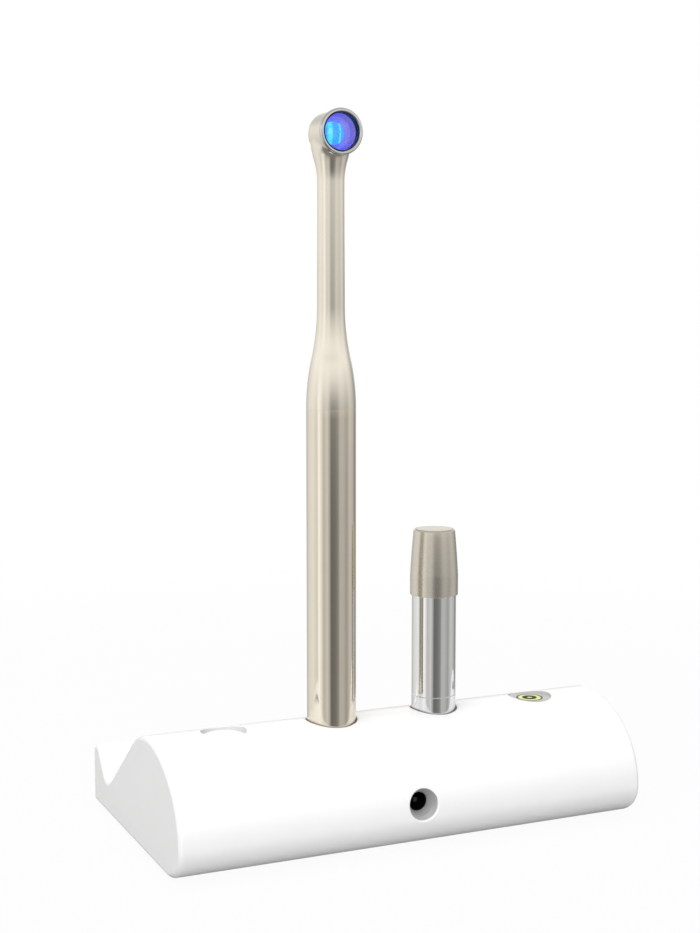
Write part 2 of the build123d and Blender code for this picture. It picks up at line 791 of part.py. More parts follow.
# Handpiece barrel: a plain polished tube with two button holes at its back
hand_base = Plane((hand_x, crest_y, barrel_z))
hand_side = Plane((hand_x, crest_y, barrel_z), x_dir=(1, 0, 0), z_dir=(0, -1, 0))
hand_axis = Axis((hand_x, crest_y, barrel_z), (0, 0, 1))
buttons = (("power", power_height, power_diameter), ("mode", mode_height, mode_diameter))
with BuildPart() as barrel:
    with BuildSketch(hand_base):
        Circle(barrel_diameter / 2)
        Circle(barrel_bore / 2, mode=Mode.SUBTRACT)
    extrude(amount=barrel_length)
    for name, height, diameter in buttons:
        with BuildSketch(hand_side):
            with Locations((0, height)):
                Circle(diameter / 2 + button_gap)
        extrude(amount=-barrel_diameter, mode=Mode.SUBTRACT)
save(barrel, "barrel")

# Neck and head shell: a spigot, a flare like a bottle's shoulder, the slim neck and the short head
head_side = Plane((hand_x, crest_y, head_z), x_dir=(0, -1, 0), z_dir=(-1, 0, 0))
head_axis = Axis((hand_x, crest_y, head_z), (0, -1, 0))
spigot_end = barrel_length - spigot_length
flare_end = barrel_length + flare_length
neck_end = head_height - head_swell_drop
head_flare_angle = acos(1 - head_flare / head_flare_radius)
shoulder_height = (neck_top_radius - neck_diameter / 2 - head_flare) / tan(head_flare_angle / 2)
cavity_front = head_front - bezel_length
with BuildPart() as head_shell:
    with BuildSketch(hand_side):
        with BuildLine():
            middle = ((barrel_diameter + neck_diameter) / 4, barrel_length + flare_length / 2)
            Polyline(
                (0, spigot_end),
                (barrel_bore / 2, spigot_end),
                (barrel_bore / 2, barrel_length),
                (barrel_diameter / 2, barrel_length),
            )
            TangentArc((barrel_diameter / 2, barrel_length), middle, tangent=(0, 1))
            TangentArc((neck_diameter / 2, flare_end), middle, tangent=(0, -1))
            Line((neck_diameter / 2, flare_end), (neck_diameter / 2, neck_end))
            swell = CenterArc((neck_diameter / 2 + head_flare_radius, neck_end), head_flare_radius,
                              180, -degrees(head_flare_angle))
            shoulder_top = (neck_top_radius, (swell @ 1).Y + shoulder_height)
            TangentArc(swell @ 1, shoulder_top, tangent=swell % 1)
            Polyline(shoulder_top, (neck_top_radius, head_height), (0, head_height), (0, spigot_end))
        make_face()
    revolve(axis=hand_axis)
    with BuildSketch(head_side) as head_half:
        with BuildLine():
            Polyline(
                (-head_back, 0),
                (-head_back, head_diameter / 2),
                (cavity_front, head_diameter / 2),
                (cavity_front, 0),
                close=True,
            )
        make_face()
        rear_corner = Vector(-head_back, head_diameter / 2)
        fillet(head_half.vertices().sort_by_distance(rear_corner)[0], head_back_round)
    revolve(axis=head_axis)
    with BuildSketch(head_side):
        with Locations(((cavity_front - head_cavity_back) / 2, head_bore / 4)):
            Rectangle(cavity_front + head_cavity_back, head_bore / 2)
    revolve(axis=head_axis, mode=Mode.SUBTRACT)
    with BuildSketch(hand_side):
        with BuildLine():
            Polyline(
                (0, spigot_end),
                (spigot_bore / 2, spigot_end),
                (spigot_bore / 2, barrel_length),
                (neck_bore / 2, flare_end),
                (neck_bore / 2, head_height - head_bore / 4),
                (0, head_height - head_bore / 4),
                close=True,
            )
        make_face()
    revolve(axis=hand_axis, mode=Mode.SUBTRACT)
save(head_shell, "head_shell")

# Head insides, from the back: heat sink with its stem, light board and chips, reflector and lens
board_back = heat_sink_thickness - head_cavity_back
board_face = board_back + light_board_thickness
lens_back = cavity_front - lens_edge
with BuildPart() as heat_sink:
    with BuildSketch(head_side):
        with Locations(((board_back - head_cavity_back) / 2, head_bore / 4)):
            Rectangle(heat_sink_thickness, head_bore / 2)
    revolve(axis=head_axis)
    with BuildSketch(hand_base.offset(spigot_end)):
        with Locations((0, stem_offset)):
            Circle(stem_diameter / 2)
    extrude(amount=head_height - spigot_end)
save(heat_sink, "heat_sink")

head_plane = Plane((hand_x, crest_y, head_z), x_dir=(1, 0, 0), z_dir=(0, -1, 0))
with BuildPart() as light_board:
    with BuildSketch(head_plane.offset(board_back)):
        Circle(light_board_diameter / 2)
    extrude(amount=light_board_thickness)
save(light_board, "light_board")

with BuildPart() as light_chips:
    with BuildSketch(head_plane.offset(board_face)):
        with GridLocations(chip_pitch, chip_pitch, 2, 2):
            Rectangle(chip_size, chip_size)
    extrude(amount=chip_height)
save(light_chips, "light_chips")

# Clear dome over the chips, hollowed round them, with its edge on the light board
dome_edge = board_face + inner_lens_edge
with BuildPart() as inner_lens:
    with BuildSketch(head_side):
        with BuildLine():
            Polyline((dome_edge + inner_lens_rise, 0), (board_face, 0),
                     (board_face, inner_lens_diameter / 2), (dome_edge, inner_lens_diameter / 2))
            TangentArc((dome_edge + inner_lens_rise, 0), (dome_edge, inner_lens_diameter / 2), tangent=(0, 1))
        make_face()
    revolve(axis=head_axis)
    with BuildSketch(head_plane.offset(board_face)):
        Rectangle(2 * chip_pitch, 2 * chip_pitch)
    extrude(amount=chip_height, mode=Mode.SUBTRACT)
save(inner_lens, "inner_lens")

with BuildPart() as reflector:
    with BuildSketch(head_plane.offset(board_face)):
        Circle(head_bore / 2)
    extrude(amount=lens_back - board_face)
    with BuildSketch(head_plane.offset(board_face)):
        Circle(inner_lens_diameter / 2 + inner_lens_gap)
    with BuildSketch(head_plane.offset(lens_back)):
        Circle(liner_bore / 2)
    loft(mode=Mode.SUBTRACT)
save(reflector, "reflector")

with BuildPart() as lens:
    with BuildSketch(head_side):
        with BuildLine():
            Polyline((lens_back + lens_edge + lens_bulge, 0), (lens_back, 0), (lens_back, head_bore / 2),
                     (lens_back + lens_edge, head_bore / 2), (lens_back + lens_edge, liner_bore / 2))
            TangentArc((lens_back + lens_edge + lens_bulge, 0), (lens_back + lens_edge, liner_bore / 2),
                       tangent=(0, 1))
        make_face()
    revolve(axis=head_axis)
save(lens, "lens")

# The bezel's bore is narrower than the head's, so it clamps the lens, and the liner sits inside it
with BuildPart() as lens_liner:
    with BuildSketch(head_plane.offset(cavity_front)):
        Circle(bezel_bore / 2)
        Circle(liner_bore / 2, mode=Mode.SUBTRACT)
    extrude(amount=bezel_length - liner_setback)
save(lens_liner, "lens_liner")

with BuildPart() as lens_bezel:
    with BuildSketch(head_plane.offset(cavity_front)):
        Circle(bezel_diameter / 2)
        Circle(bezel_bore / 2, mode=Mode.SUBTRACT)
    extrude(amount=bezel_length)
    fillet(lens_bezel.edges().filter_by(GeomType.CIRCLE).sort_by(SortBy.RADIUS)[-2:], bezel_round)
save(lens_bezel, "lens_bezel")

with BuildPart() as light_leads:
    with BuildSketch(hand_base.offset(spigot_end)):
        with Locations((-lead_pitch / 2, -lead_offset), (lead_pitch / 2, -lead_offset)):
            Circle(lead_diameter / 2)
    extrude(amount=head_height - head_bore / 2 - spigot_end)
save(light_leads, "light_leads")

# Electronics in the barrel: sprung contact, carrier with a flat, driver board, chip and switches
contact_end = can_visible + tip_proud
carrier_start = contact_end + contact_length
with BuildPart() as battery_contact:
    with BuildSketch(hand_base.offset(contact_end)):
        Circle(contact_diameter / 2)
    extrude(amount=contact_length)
    chamfer(battery_contact.faces().sort_by(Axis.Z)[0].edges(), contact_diameter / 8)
save(battery_contact, "battery_contact")

with BuildPart() as board_carrier:
    with BuildSketch(hand_base.offset(carrier_start)):
        Circle(barrel_bore / 2)
    extrude(amount=spigot_end - carrier_start)
    with BuildSketch(hand_base.offset(carrier_start + carrier_disc)):
        with Locations((0, driver_offset + barrel_bore / 2)):
            Rectangle(barrel_bore, barrel_bore)
    extrude(amount=spigot_end - carrier_start - 2 * carrier_disc, mode=Mode.SUBTRACT)
save(board_carrier, "board_carrier")

driver_start = carrier_start + carrier_disc + driver_margin
driver_end = spigot_end - carrier_disc - driver_margin
driver_face = driver_offset + driver_thickness
back_plane = Plane((hand_x, crest_y, barrel_z), x_dir=(-1, 0, 0), z_dir=(0, 1, 0))
with BuildPart() as driver_board:
    with BuildSketch(back_plane.offset(driver_offset)):
        with Locations((0, (driver_start + driver_end) / 2)):
            Rectangle(driver_width, driver_end - driver_start)
    extrude(amount=driver_thickness)
save(driver_board, "driver_board")

with BuildPart() as driver_controller:
    with BuildSketch(back_plane.offset(driver_face)):
        with Locations((0, (power_height + mode_height) / 2)):
            Rectangle(driver_chip, driver_chip)
    extrude(amount=driver_chip_height)
save(driver_controller, "driver_controller")

with BuildPart() as switches:
    with BuildSketch(back_plane.offset(driver_face)):
        with Locations((0, power_height), (0, mode_height)):
            Rectangle(switch_size, switch_size)
    extrude(amount=switch_height * 0.7)
    with BuildSketch(back_plane.offset(driver_face)):
        with Locations((0, power_height), (0, mode_height)):
            Circle(switch_size / 4)
    extrude(amount=switch_height)
save(switches, "switches")

# Buttons: a head that follows the barrel's surface, a flange behind the wall and a stem to its switch
stem_start = driver_face + switch_height + switch_gap
for name, height, diameter in buttons:
    flange_radius = diameter / 2 + button_flange_width
    flange_face = sqrt((barrel_bore / 2) ** 2 - flange_radius ** 2) - flange_gap
    with BuildPart() as button:
        with BuildSketch(back_plane.offset(flange_face)):
            with Locations((0, height)):
                Circle(diameter / 2)
        extrude(amount=barrel_diameter)
        with BuildSketch(hand_base):
            Circle(barrel_diameter / 2 + button_proud)
        extrude(amount=barrel_length, mode=Mode.INTERSECT)
        with BuildSketch(back_plane.offset(flange_face)):
            with Locations((0, height)):
                Circle(flange_radius)
        extrude(amount=-button_flange_thickness)
        with BuildSketch(back_plane.offset(stem_start)):
            with Locations((0, height)):
                Circle(button_stem / 2)
        extrude(amount=flange_face - stem_start)
    save(button, f"{name}_button")
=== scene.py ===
import math

import bmesh
import bpy
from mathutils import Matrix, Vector


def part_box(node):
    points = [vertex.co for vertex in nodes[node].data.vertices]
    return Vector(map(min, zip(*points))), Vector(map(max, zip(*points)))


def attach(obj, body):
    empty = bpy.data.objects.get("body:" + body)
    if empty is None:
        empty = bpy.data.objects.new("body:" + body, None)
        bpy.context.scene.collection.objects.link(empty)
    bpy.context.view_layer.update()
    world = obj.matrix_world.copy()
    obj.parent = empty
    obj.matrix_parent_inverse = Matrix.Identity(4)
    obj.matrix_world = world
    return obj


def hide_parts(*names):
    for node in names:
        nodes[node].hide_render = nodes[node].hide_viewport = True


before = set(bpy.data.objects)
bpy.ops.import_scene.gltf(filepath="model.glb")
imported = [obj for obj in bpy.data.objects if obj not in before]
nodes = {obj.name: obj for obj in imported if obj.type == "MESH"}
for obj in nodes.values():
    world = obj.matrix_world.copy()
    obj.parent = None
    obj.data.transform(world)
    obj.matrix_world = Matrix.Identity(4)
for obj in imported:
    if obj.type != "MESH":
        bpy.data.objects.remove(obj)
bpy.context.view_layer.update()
mm = 0.001

# Camera. It stands at the left of the object and a little above it, and looks slightly down, with
# no shift and no roll. Its place and lens are measured from the base's edges in the photograph.
camera_data = bpy.data.cameras.new("camera")
camera_data.sensor_width = 36
camera_data.lens = 61.8
camera = bpy.data.objects.new("camera", camera_data)
camera.location = (-0.20892, -0.45551, 0.16512)
camera.rotation_euler = (math.pi / 2 - 0.10655, 0, -0.42238)
bpy.context.scene.collection.objects.link(camera)
bpy.context.scene.camera = camera
bpy.context.scene.view_settings.view_transform = "Standard"


# Studio. A small pale floor keeps the object's soft shadow and fades into a white world. Metal sees
# a tent of white cloth round the set, with a dark flag beside the camera and greyer cloth behind.
def linear(code):
    """Linear colour of an sRGB hex value."""
    parts = [int(code[k:k + 2], 16) / 255 for k in (1, 3, 5)]
    return (*[c / 12.92 if c <= 0.04045 else ((c + 0.055) / 1.055) ** 2.4 for c in parts], 1)


def add_node(tree, kind, inputs=None, **settings):
    """A new node with its settings, and its inputs set to values or linked to other nodes' outputs."""
    node = tree.nodes.new(kind)
    for name, value in settings.items():
        setattr(node, name, value)
    for socket, value in (inputs or {}).items():
        if isinstance(value, bpy.types.NodeSocket):
            tree.links.new(value, node.inputs[socket])
        else:
            node.inputs[socket].default_value = value
    return node


def link_object(name, mesh):
    """Object of that name for a finished mesh."""
    made = bpy.data.objects.new(name, mesh)
    bpy.context.scene.collection.objects.link(made)
    return made


def circle(radius, sides):
    """Points (u, v) evenly round a circle."""
    return [(radius * math.cos(math.tau * k / sides), radius * math.sin(math.tau * k / sides))
            for k in range(sides)]


floor_radius = 0.55
floor_fade = 0.22
floor_sides = 96
floor_mesh = bpy.data.meshes.new("studio_floor")
floor_mesh.from_pydata([(x, y, 0) for x, y in circle(floor_radius, floor_sides)], [],
                       [list(range(floor_sides))])
studio_floor = link_object("studio_floor", floor_mesh)
studio_floor.visible_glossy = False

floor_paper = bpy.data.materials.new("matt_backdrop_paper")
floor_paper.use_nodes = True
tree = floor_paper.node_tree
tree.nodes.clear()
rays = add_node(tree, "ShaderNodeLightPath")
place = add_node(tree, "ShaderNodeTexCoord").outputs["Object"]
reach = add_node(tree, "ShaderNodeVectorMath", {0: place}, operation="LENGTH").outputs["Value"]
fade = add_node(tree, "ShaderNodeMapRange",
                {"Value": reach, "From Min": floor_fade, "From Max": floor_radius * 0.97,
                 "To Min": 0.95, "To Max": 1.0}, interpolation_type="SMOOTHSTEP").outputs["Result"]
seen = add_node(tree, "ShaderNodeMath", {0: rays.outputs["Is Camera Ray"],
                                         1: rays.outputs["Is Transmission Ray"]}, operation="MAXIMUM")
share = add_node(tree, "ShaderNodeMath", {0: seen.outputs[0], 1: fade}, operation="MULTIPLY")
paper = add_node(tree, "ShaderNodeBsdfDiffuse", {"Color": linear("#C4C4C4"), "Roughness": 0.6})
white = add_node(tree, "ShaderNodeEmission", {"Color": (1, 1, 1, 1), "Strength": 1.0})
mixed = add_node(tree, "ShaderNodeMixShader", {0: share.outputs[0], 1: paper.outputs[0],
                                               2: white.outputs[0]})
add_node(tree, "ShaderNodeOutputMaterial", {"Surface": mixed.outputs[0]})
floor_mesh.materials.append(floor_paper)

tent_radius = 1.5
tent_bottom = -1.8
tent_top = 1.2
tent_sides = 128
tent_mesh = bpy.data.meshes.new("studio_tent")
tent_rim = circle(tent_radius, tent_sides)
tent_mesh.from_pydata(
    [(x, y, z) for z in (tent_bottom, tent_top) for x, y in tent_rim], [],
    [[k, (k + 1) % tent_sides, tent_sides + (k + 1) % tent_sides, tent_sides + k]
     for k in range(tent_sides)] + [list(range(tent_sides)), list(range(tent_sides, 2 * tent_sides))])
studio_tent = link_object("studio_tent", tent_mesh)
for rays in ("camera", "diffuse", "transmission", "volume_scatter", "shadow"):
    setattr(studio_tent, f"visible_{rays}", False)

# Brightness of the tent's cloth, by the angle in degrees round the set from the side of the camera.
# Its flags fade out upwards, low down the cloth falls into shade, and its roof is a little grey.
tent_cloth = bpy.data.materials.new("tent_cloth_with_flags")
tent_cloth.use_nodes = True
tree = tent_cloth.node_tree
tree.nodes.clear()
place = add_node(tree, "ShaderNodeTexCoord").outputs["Object"]
faced = add_node(tree, "ShaderNodeMapping", {"Vector": place, "Rotation": (0, 0, math.radians(25))})
sides = add_node(tree, "ShaderNodeSeparateXYZ", {0: faced.outputs[0]})
back = add_node(tree, "ShaderNodeMath", {0: sides.outputs["Y"], 1: -1.0}, operation="MULTIPLY")
angle = add_node(tree, "ShaderNodeMath", {0: sides.outputs["X"], 1: back.outputs[0]},
                 operation="ARCTAN2")
around = add_node(tree, "ShaderNodeMapRange",
                  {"Value": angle.outputs[0], "From Min": -math.pi, "From Max": math.pi})
cloth = add_node(tree, "ShaderNodeValToRGB", {0: around.outputs["Result"]})
brightness = ((-180, 0.62), (-150, 0.6), (-122, 0.86), (-92, 0.95), (-68, 0.80), (-56, 1.2),
              (-46, 0.95), (-34, 0.6), (-16, 0.72), (-8, 0.5), (1, 0.17), (18, 0.2), (31, 0.28),
              (42, 0.55), (56, 0.55), (76, 0.42), (98, 0.66), (116, 0.58), (138, 0.3), (158, 0.42),
              (180, 0.62))
ramp = cloth.color_ramp
ramp.interpolation = "EASE"
for k, (degrees, level) in enumerate(brightness):
    at = (degrees + 180) / 360
    stop = ramp.elements[k] if k < 2 else ramp.elements.new(at)
    stop.position = at
    stop.color = (level, level * 0.985, level * 0.96, 1)
# Each fade runs along one axis, from and to a share of the tent's radius, between two values
fades = {}
for part, axis, start, end, first, last in (
    ("above", "Z", -0.1, 0.5, 0.0, 1.0), ("behind", "Y", 0.0, 0.7, 1.0, 0.45),
    ("beneath", "Z", -0.22, -0.8, 0.0, 1.0), ("roof", "Z", 0.42, 0.66, 0.0, 1.0),
    ("far", "Y", 0.80, 0.92, 0.0, 1.0), ("high", "Z", 0.12, 0.17, 0.0, 1.0),
    ("below_top", "Z", 0.42, 0.28, 0.0, 1.0),
):
    fades[part] = add_node(tree, "ShaderNodeMapRange",
                           {"Value": sides.outputs[axis], "From Min": start * tent_radius,
                            "From Max": end * tent_radius, "To Min": first, "To Max": last},
                           interpolation_type="SMOOTHSTEP").outputs["Result"]
for part, one, other in (("upper", "above", "behind"), ("band", "high", "below_top"),
                         ("sheet", "far", "band")):
    fades[part] = add_node(tree, "ShaderNodeMath", {0: fades[one], 1: fades[other]},
                           operation="MULTIPLY").outputs[0]
# The last part is a white sheet behind the set, above table height, which the cap's end reflects
colour = cloth.outputs["Color"]
for part, paint in (("upper", (1.15, 1.13, 1.10, 1)), ("beneath", (0.24, 0.235, 0.225, 1)),
                    ("roof", (0.64, 0.63, 0.61, 1)), ("sheet", (1.12, 1.12, 1.1, 1))):
    colour = add_node(tree, "ShaderNodeMix", {"Factor": fades[part], "A": colour, "B": paint},
                      data_type="RGBA").outputs["Result"]
glow = add_node(tree, "ShaderNodeEmission", {"Color": colour, "Strength": 1.0})
add_node(tree, "ShaderNodeOutputMaterial", {"Surface": glow.outputs[0]})
tent_mesh.materials.append(tent_cloth)

world = bpy.data.worlds.new("white_studio")
bpy.context.scene.world = world
world.use_nodes = True
tree = world.node_tree
tree.nodes.clear()
rays = add_node(tree, "ShaderNodeLightPath")
direct = add_node(tree, "ShaderNodeMath", {0: rays.outputs["Is Camera Ray"],
                                           1: rays.outputs["Is Glossy Ray"]}, operation="MAXIMUM")
direct = add_node(tree, "ShaderNodeMath", {0: direct.outputs[0],
                                           1: rays.outputs["Is Transmission Ray"]}, operation="MAXIMUM")
soft = add_node(tree, "ShaderNodeBackground", {"Color": (1, 1, 1, 1), "Strength": 0.52})
plain = add_node(tree, "ShaderNodeBackground", {"Color": (1, 1, 1, 1), "Strength": 1.0})
mixed = add_node(tree, "ShaderNodeMixShader", {0: direct.outputs[0], 1: soft.outputs[0],
                                               2: plain.outputs[0]})
add_node(tree, "ShaderNodeOutputWorld", {"Surface": mixed.outputs[0]})

for name, spot, aim, size, power in (
    ("lamp_top", (-0.15, -0.10, 0.95), (0, 0, 0.05), 0.8, 5.2),
    ("lamp_left", (-0.90, -0.55, 0.55), (0, 0, 0.08), 0.7, 3.2),
    ("lamp_front", (-0.25, -1.20, 0.55), (0, 0, 0.03), 0.7, 5.0),
    ("lamp_back", (0.35, 0.85, 0.60), (0, 0, 0.10), 0.6, 1.5),
):
    lamp_data = bpy.data.lights.new(name, "AREA")
    lamp_data.size = size
    lamp_data.energy = power
    lamp = bpy.data.objects.new(name, lamp_data)
    lamp.location = spot
    lamp.rotation_euler = (Vector(aim) - Vector(spot)).to_track_quat("-Z", "Y").to_euler()
    lamp.visible_glossy = False
    bpy.context.scene.collection.objects.link(lamp)


# Base housing. Injection-moulded white ABS with a polished mould face: one long hump with a shallow
# valley behind it. It is its side outline carried along the base, hollowed, and cut from above for
# the wells and dishes and from the front for the power inlet, each with a soft moulded rim.
def arc(centre, radius, start, turn, step):
    """(point, outward normal) pairs along a convex arc, with angles in degrees."""
    count = max(1, round(abs(turn) / step))
    found = []
    for k in range(count + 1):
        angle = math.radians(start + turn * k / count)
        normal = Vector((math.cos(angle), math.sin(angle)))
        found.append((Vector(centre) + radius * normal, normal))
    return found


def rounded(corners, step=9.0, closed=True):
    """(point, outward normal) pairs round corners (u, v, radius), with the inside at the right."""
    points = [Vector(c[:2]) for c in corners]
    radii = [c[2] if len(c) > 2 else 0 for c in corners]
    count = len(points)
    found = []
    for k in range(0 if closed else 1, count if closed else count - 1):
        before = (points[k] - points[k - 1]).normalized()
        after = (points[(k + 1) % count] - points[k]).normalized()
        turn = math.atan2(before.cross(after), before.dot(after))
        first = math.atan2(before.x, -before.y)
        if radii[k] <= 0:
            for normal in (Vector((-before.y, before.x)), Vector((-after.y, after.x))):
                found.append((points[k], normal))
            continue
        side = -1 if turn > 0 else 1
        start = points[k] - before * radii[k] * math.tan(abs(turn) / 2)
        centre = start - side * radii[k] * Vector((-before.y, before.x))
        steps = max(1, round(abs(math.degrees(turn)) / step))
        for n in range(steps + 1):
            angle = first + turn * n / steps
            normal = Vector((math.cos(angle), math.sin(angle)))
            found.append((centre + side * radii[k] * normal, normal))
    return found


sharp_angle = math.radians(35)


def finish_mesh(name, made):
    """Object from a bmesh: doubles merged, faces turned outwards and shaded smooth but for sharp edges."""
    bmesh.ops.remove_doubles(made, verts=made.verts, dist=2e-7)
    bmesh.ops.dissolve_degenerate(made, edges=made.edges, dist=1e-7)
    bmesh.ops.recalc_face_normals(made, faces=made.faces)
    mesh = bpy.data.meshes.new(name)
    made.to_mesh(mesh)
    made.free()
    mesh.shade_smooth()
    mesh.set_sharp_from_angle(angle=sharp_angle)
    return link_object(name, mesh)


def join_rings(name, rings, ends="filled"):
    """Mesh through rings of equally many points, its ends filled, open, or joined to each other."""
    made = bmesh.new()
    rows = [[made.verts.new(p) for p in ring] for ring in rings]
    size = len(rings[0])
    for low, high in zip(rows, rows[1:] + rows[:1] if ends == "joined" else rows[1:]):
        for k in range(size):
            made.faces.new((low[k], low[(k + 1) % size], high[(k + 1) % size], high[k]))
    if ends == "filled":
        made.faces.new(rows[0][::-1])
        made.faces.new(rows[-1])
    return finish_mesh(name, made)


def cut(target, cutter, operation="DIFFERENCE"):
    """Takes cutter from target, or joins it on, and removes cutter."""
    change = target.modifiers.new("cut", "BOOLEAN")
    change.operation = operation
    change.solver = "EXACT"
    change.object = cutter
    bpy.context.view_layer.update()
    result = bpy.data.meshes.new_from_object(target.evaluated_get(bpy.context.evaluated_depsgraph_get()))
    target.modifiers.remove(change)
    target.data = result
    bpy.data.objects.remove(cutter)


def even_normals(piece):
    """Flat faces keep flat shading beside their narrow rounded edges."""
    piece.data.shade_smooth()
    piece.data.set_sharp_from_angle(angle=sharp_angle)
    weighted = piece.modifiers.new("even_normals", "WEIGHTED_NORMAL")
    weighted.keep_sharp = True
    weighted.weight = 60


def new_material(name):
    """Node material with its tree and its Principled shader's inputs, and object coordinates."""
    made = bpy.data.materials.new(name)
    made.use_nodes = True
    tree = made.node_tree
    return made, tree, tree.nodes["Principled BSDF"].inputs, \
        add_node(tree, "ShaderNodeTexCoord").outputs["Object"]


base_low, base_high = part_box("base_housing")
nose_y, back_y = base_low.y, base_high.y
underside, crest_z = base_low.z, base_high.z
hump_nose = 29.0 * mm
nose_z = 11.0 * mm
back_arc = 28.8 * mm
valley_z = 9.46 * mm
valley_y = back_y - 15.2 * mm
lip_z = 20.0 * mm
lip_y = back_y - 5.6 * mm
end_round = 1.5 * mm
shell_wall = 2.5 * mm
crest_y = nose_y + hump_nose
cavity_floor = 4.5 * mm
plate_top = 3.0 * mm
boss_bottom = 31.0 * mm
row_x = {}
for key, name in (("status", "status_window"), ("hand", "handpiece_cup"), ("spare", "charging_cup"),
                  ("meter", "meter_window")):
    low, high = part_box(name)
    row_x[key] = (low.x + high.x) / 2

rise = crest_z - nose_z
half = math.sqrt(0.5)
crest_arc = (hump_nose * half - rise * (1 - half)) / (2 * half - 1)
nose_arc = (rise * half - hump_nose * (1 - half)) / (2 * half - 1)
foot_arc = nose_z - underside
foot_reach = 13.0 * mm
to_valley = Vector((valley_y - crest_y, valley_z - (crest_z - back_arc)))
fall = math.atan2(to_valley.x, to_valley.y) - math.acos(back_arc / to_valley.length)
skin = []
for p, n in arc((0, 0), 1, 270, -90, 3.0):
    # The foot under the nose is an ellipse that runs a little further back than it is high
    skin.append((Vector((nose_y + foot_reach * (1 + p.x), nose_z + foot_arc * p.y)),
                 Vector((n.x * foot_arc, n.y * foot_reach)).normalized()))
skin += arc((nose_y + nose_arc, nose_z), nose_arc, 180, -45, 1.5)[1:]
skin += arc((crest_y, crest_z - crest_arc), crest_arc, 135, -45, 1.25)[1:]
skin += arc((crest_y, crest_z - back_arc), back_arc, 90, -math.degrees(fall), 1.25)[1:]
skin += rounded([(*skin[-1][0],), (valley_y, valley_z, 5.0 * mm), (lip_y, lip_z, 4.0 * mm),
                 (back_y, lip_z, 3.4 * mm), (back_y, underside, 1.5 * mm),
                 (nose_y + foot_reach, underside)], step=6.0, closed=False)


def base_ring(x, inset, floor=-1.0):
    """The base's side outline at one x, drawn inwards by inset and kept above floor."""
    return [(x, (p - n * inset).x, max((p - n * inset).y, floor)) for p, n in skin]


def skin_z(y):
    """Height of the hump's outer face above one y near the crest."""
    radius = crest_arc if y < crest_y else back_arc
    return crest_z - radius + math.sqrt(radius ** 2 - (y - crest_y) ** 2)


def skin_y(z):
    """Place of the hump's front face at one height near the nose."""
    if z > nose_z:
        return nose_y + nose_arc - math.sqrt(nose_arc ** 2 - (z - nose_z) ** 2)
    return nose_y + foot_reach * (1 - math.sqrt(1 - ((z - nose_z) / foot_arc) ** 2))


def round_cutter(centre, steps, rim=0.0, front=False, sides=96):
    """Cutter turned about the line through centre: steps are (radius, level) from the rim inwards.

    The rim follows the base's curved face, rounded by rim, and front cuts from the front face."""
    radius = steps[0][0]
    rings = [(radius + rim * (1 - math.cos(math.radians(75))) + 0.5 * mm, 0.14 * mm)]
    rings.insert(0, (rings[0][0], 2 * mm))
    rings += [(radius + rim * (1 - math.cos(math.radians(a))), -rim * (1 - math.sin(math.radians(a))))
              for a in range(75, -1, -15)]
    placed = [[(centre[0] + u, skin_y(centre[1] + v) - above, centre[1] + v) if front
               else (centre[0] + u, centre[1] + v, skin_z(centre[1] + v) + above)
               for u, v in circle(r, sides)] for r, above in rings]
    placed += [[(centre[0] + u, level, centre[1] + v) if front else (centre[0] + u, centre[1] + v, level)
                for u, v in circle(r, sides)] for r, level in steps[1:]]
    return join_rings("cutter", placed)


def cylinder(centre, radius, low, high, along="Z", sides=64):
    """Plain cylinder between two levels, as a boss or a cutter."""
    rings = [[(centre[0] + u, centre[1] + v, level) if along == "Z"
              else (centre[0] + u, level, centre[1] + v) for u, v in circle(radius, sides)]
             for level in (low, high)]
    return join_rings("cylinder", rings)


def block(low, high, corner=0.0):
    """Block with upright edges rounded by corner, as a cutter."""
    outline = rounded([(low.x, low.y, corner), (low.x, high.y, corner), (high.x, high.y, corner),
                       (high.x, low.y, corner)])
    return join_rings("block", [[(p.x, p.y, z) for p, n in outline] for z in (low.z, high.z)])


column_step = 4.0 * mm
turns = [math.radians(a) for a in range(0, 91, 10)]
columns = [(base_low.x + end_round * (1 - math.cos(a)), end_round * (1 - math.sin(a))) for a in turns]
inner_columns = round((base_high.x - base_low.x - 2 * end_round) / column_step)
columns += [(base_low.x + end_round + (base_high.x - base_low.x - 2 * end_round) * k / inner_columns, 0)
            for k in range(1, inner_columns)]
columns += [(base_high.x - end_round * (1 - math.cos(a)), end_round * (1 - math.sin(a)))
            for a in reversed(turns)]
housing = join_rings("moulded_housing", [base_ring(x, min(inset, end_round * 0.999))
                                         for x, inset in columns])
cut(housing, join_rings("cavity", [base_ring(x, shell_wall, cavity_floor)
                                   for x in (base_low.x + shell_wall, base_high.x - shell_wall)]))
plate_low, plate_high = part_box("bottom_plate")
plate_gap = Vector((0.15, 0.15, 0)) * mm
plate_corner = 5.0 * mm
cut(housing, block(Vector((plate_low.x, plate_low.y, underside - mm)) - plate_gap,
                   Vector((plate_high.x, plate_high.y, plate_top)) + plate_gap, plate_corner))
ledge = Vector((8.0, 3.0, 0)) * mm
cut(housing, block(Vector((plate_low.x, plate_low.y, underside - mm)) + ledge,
                   Vector((plate_high.x, plate_high.y, cavity_floor + 0.3 * mm)) - ledge))
screw_inset = 4.2 * mm
screw_boss = 3.3 * mm
screw_boss_height = 9.0 * mm
screw_hole = 1.5 * mm
screw_hole_depth = 6.8 * mm
screw_places = [(x, y) for x in (plate_low.x + screw_inset, plate_high.x - screw_inset)
                for y in (plate_low.y + screw_inset, plate_high.y - screw_inset)]
for place in screw_places:
    cut(housing, cylinder(place, screw_boss, plate_top, plate_top + screw_boss_height), "UNION")
    cut(housing, cylinder(place, screw_hole, plate_top - mm, plate_top + screw_hole_depth))
inlet_z = 15.0 * mm
inlet_face = nose_y + 4.9 * mm
inlet_boss = 6.6 * mm
inlet_boss_start = nose_y + 2.7 * mm
cut(housing, cylinder((0, inlet_z), inlet_boss, inlet_boss_start, inlet_face, along="Y"), "UNION")
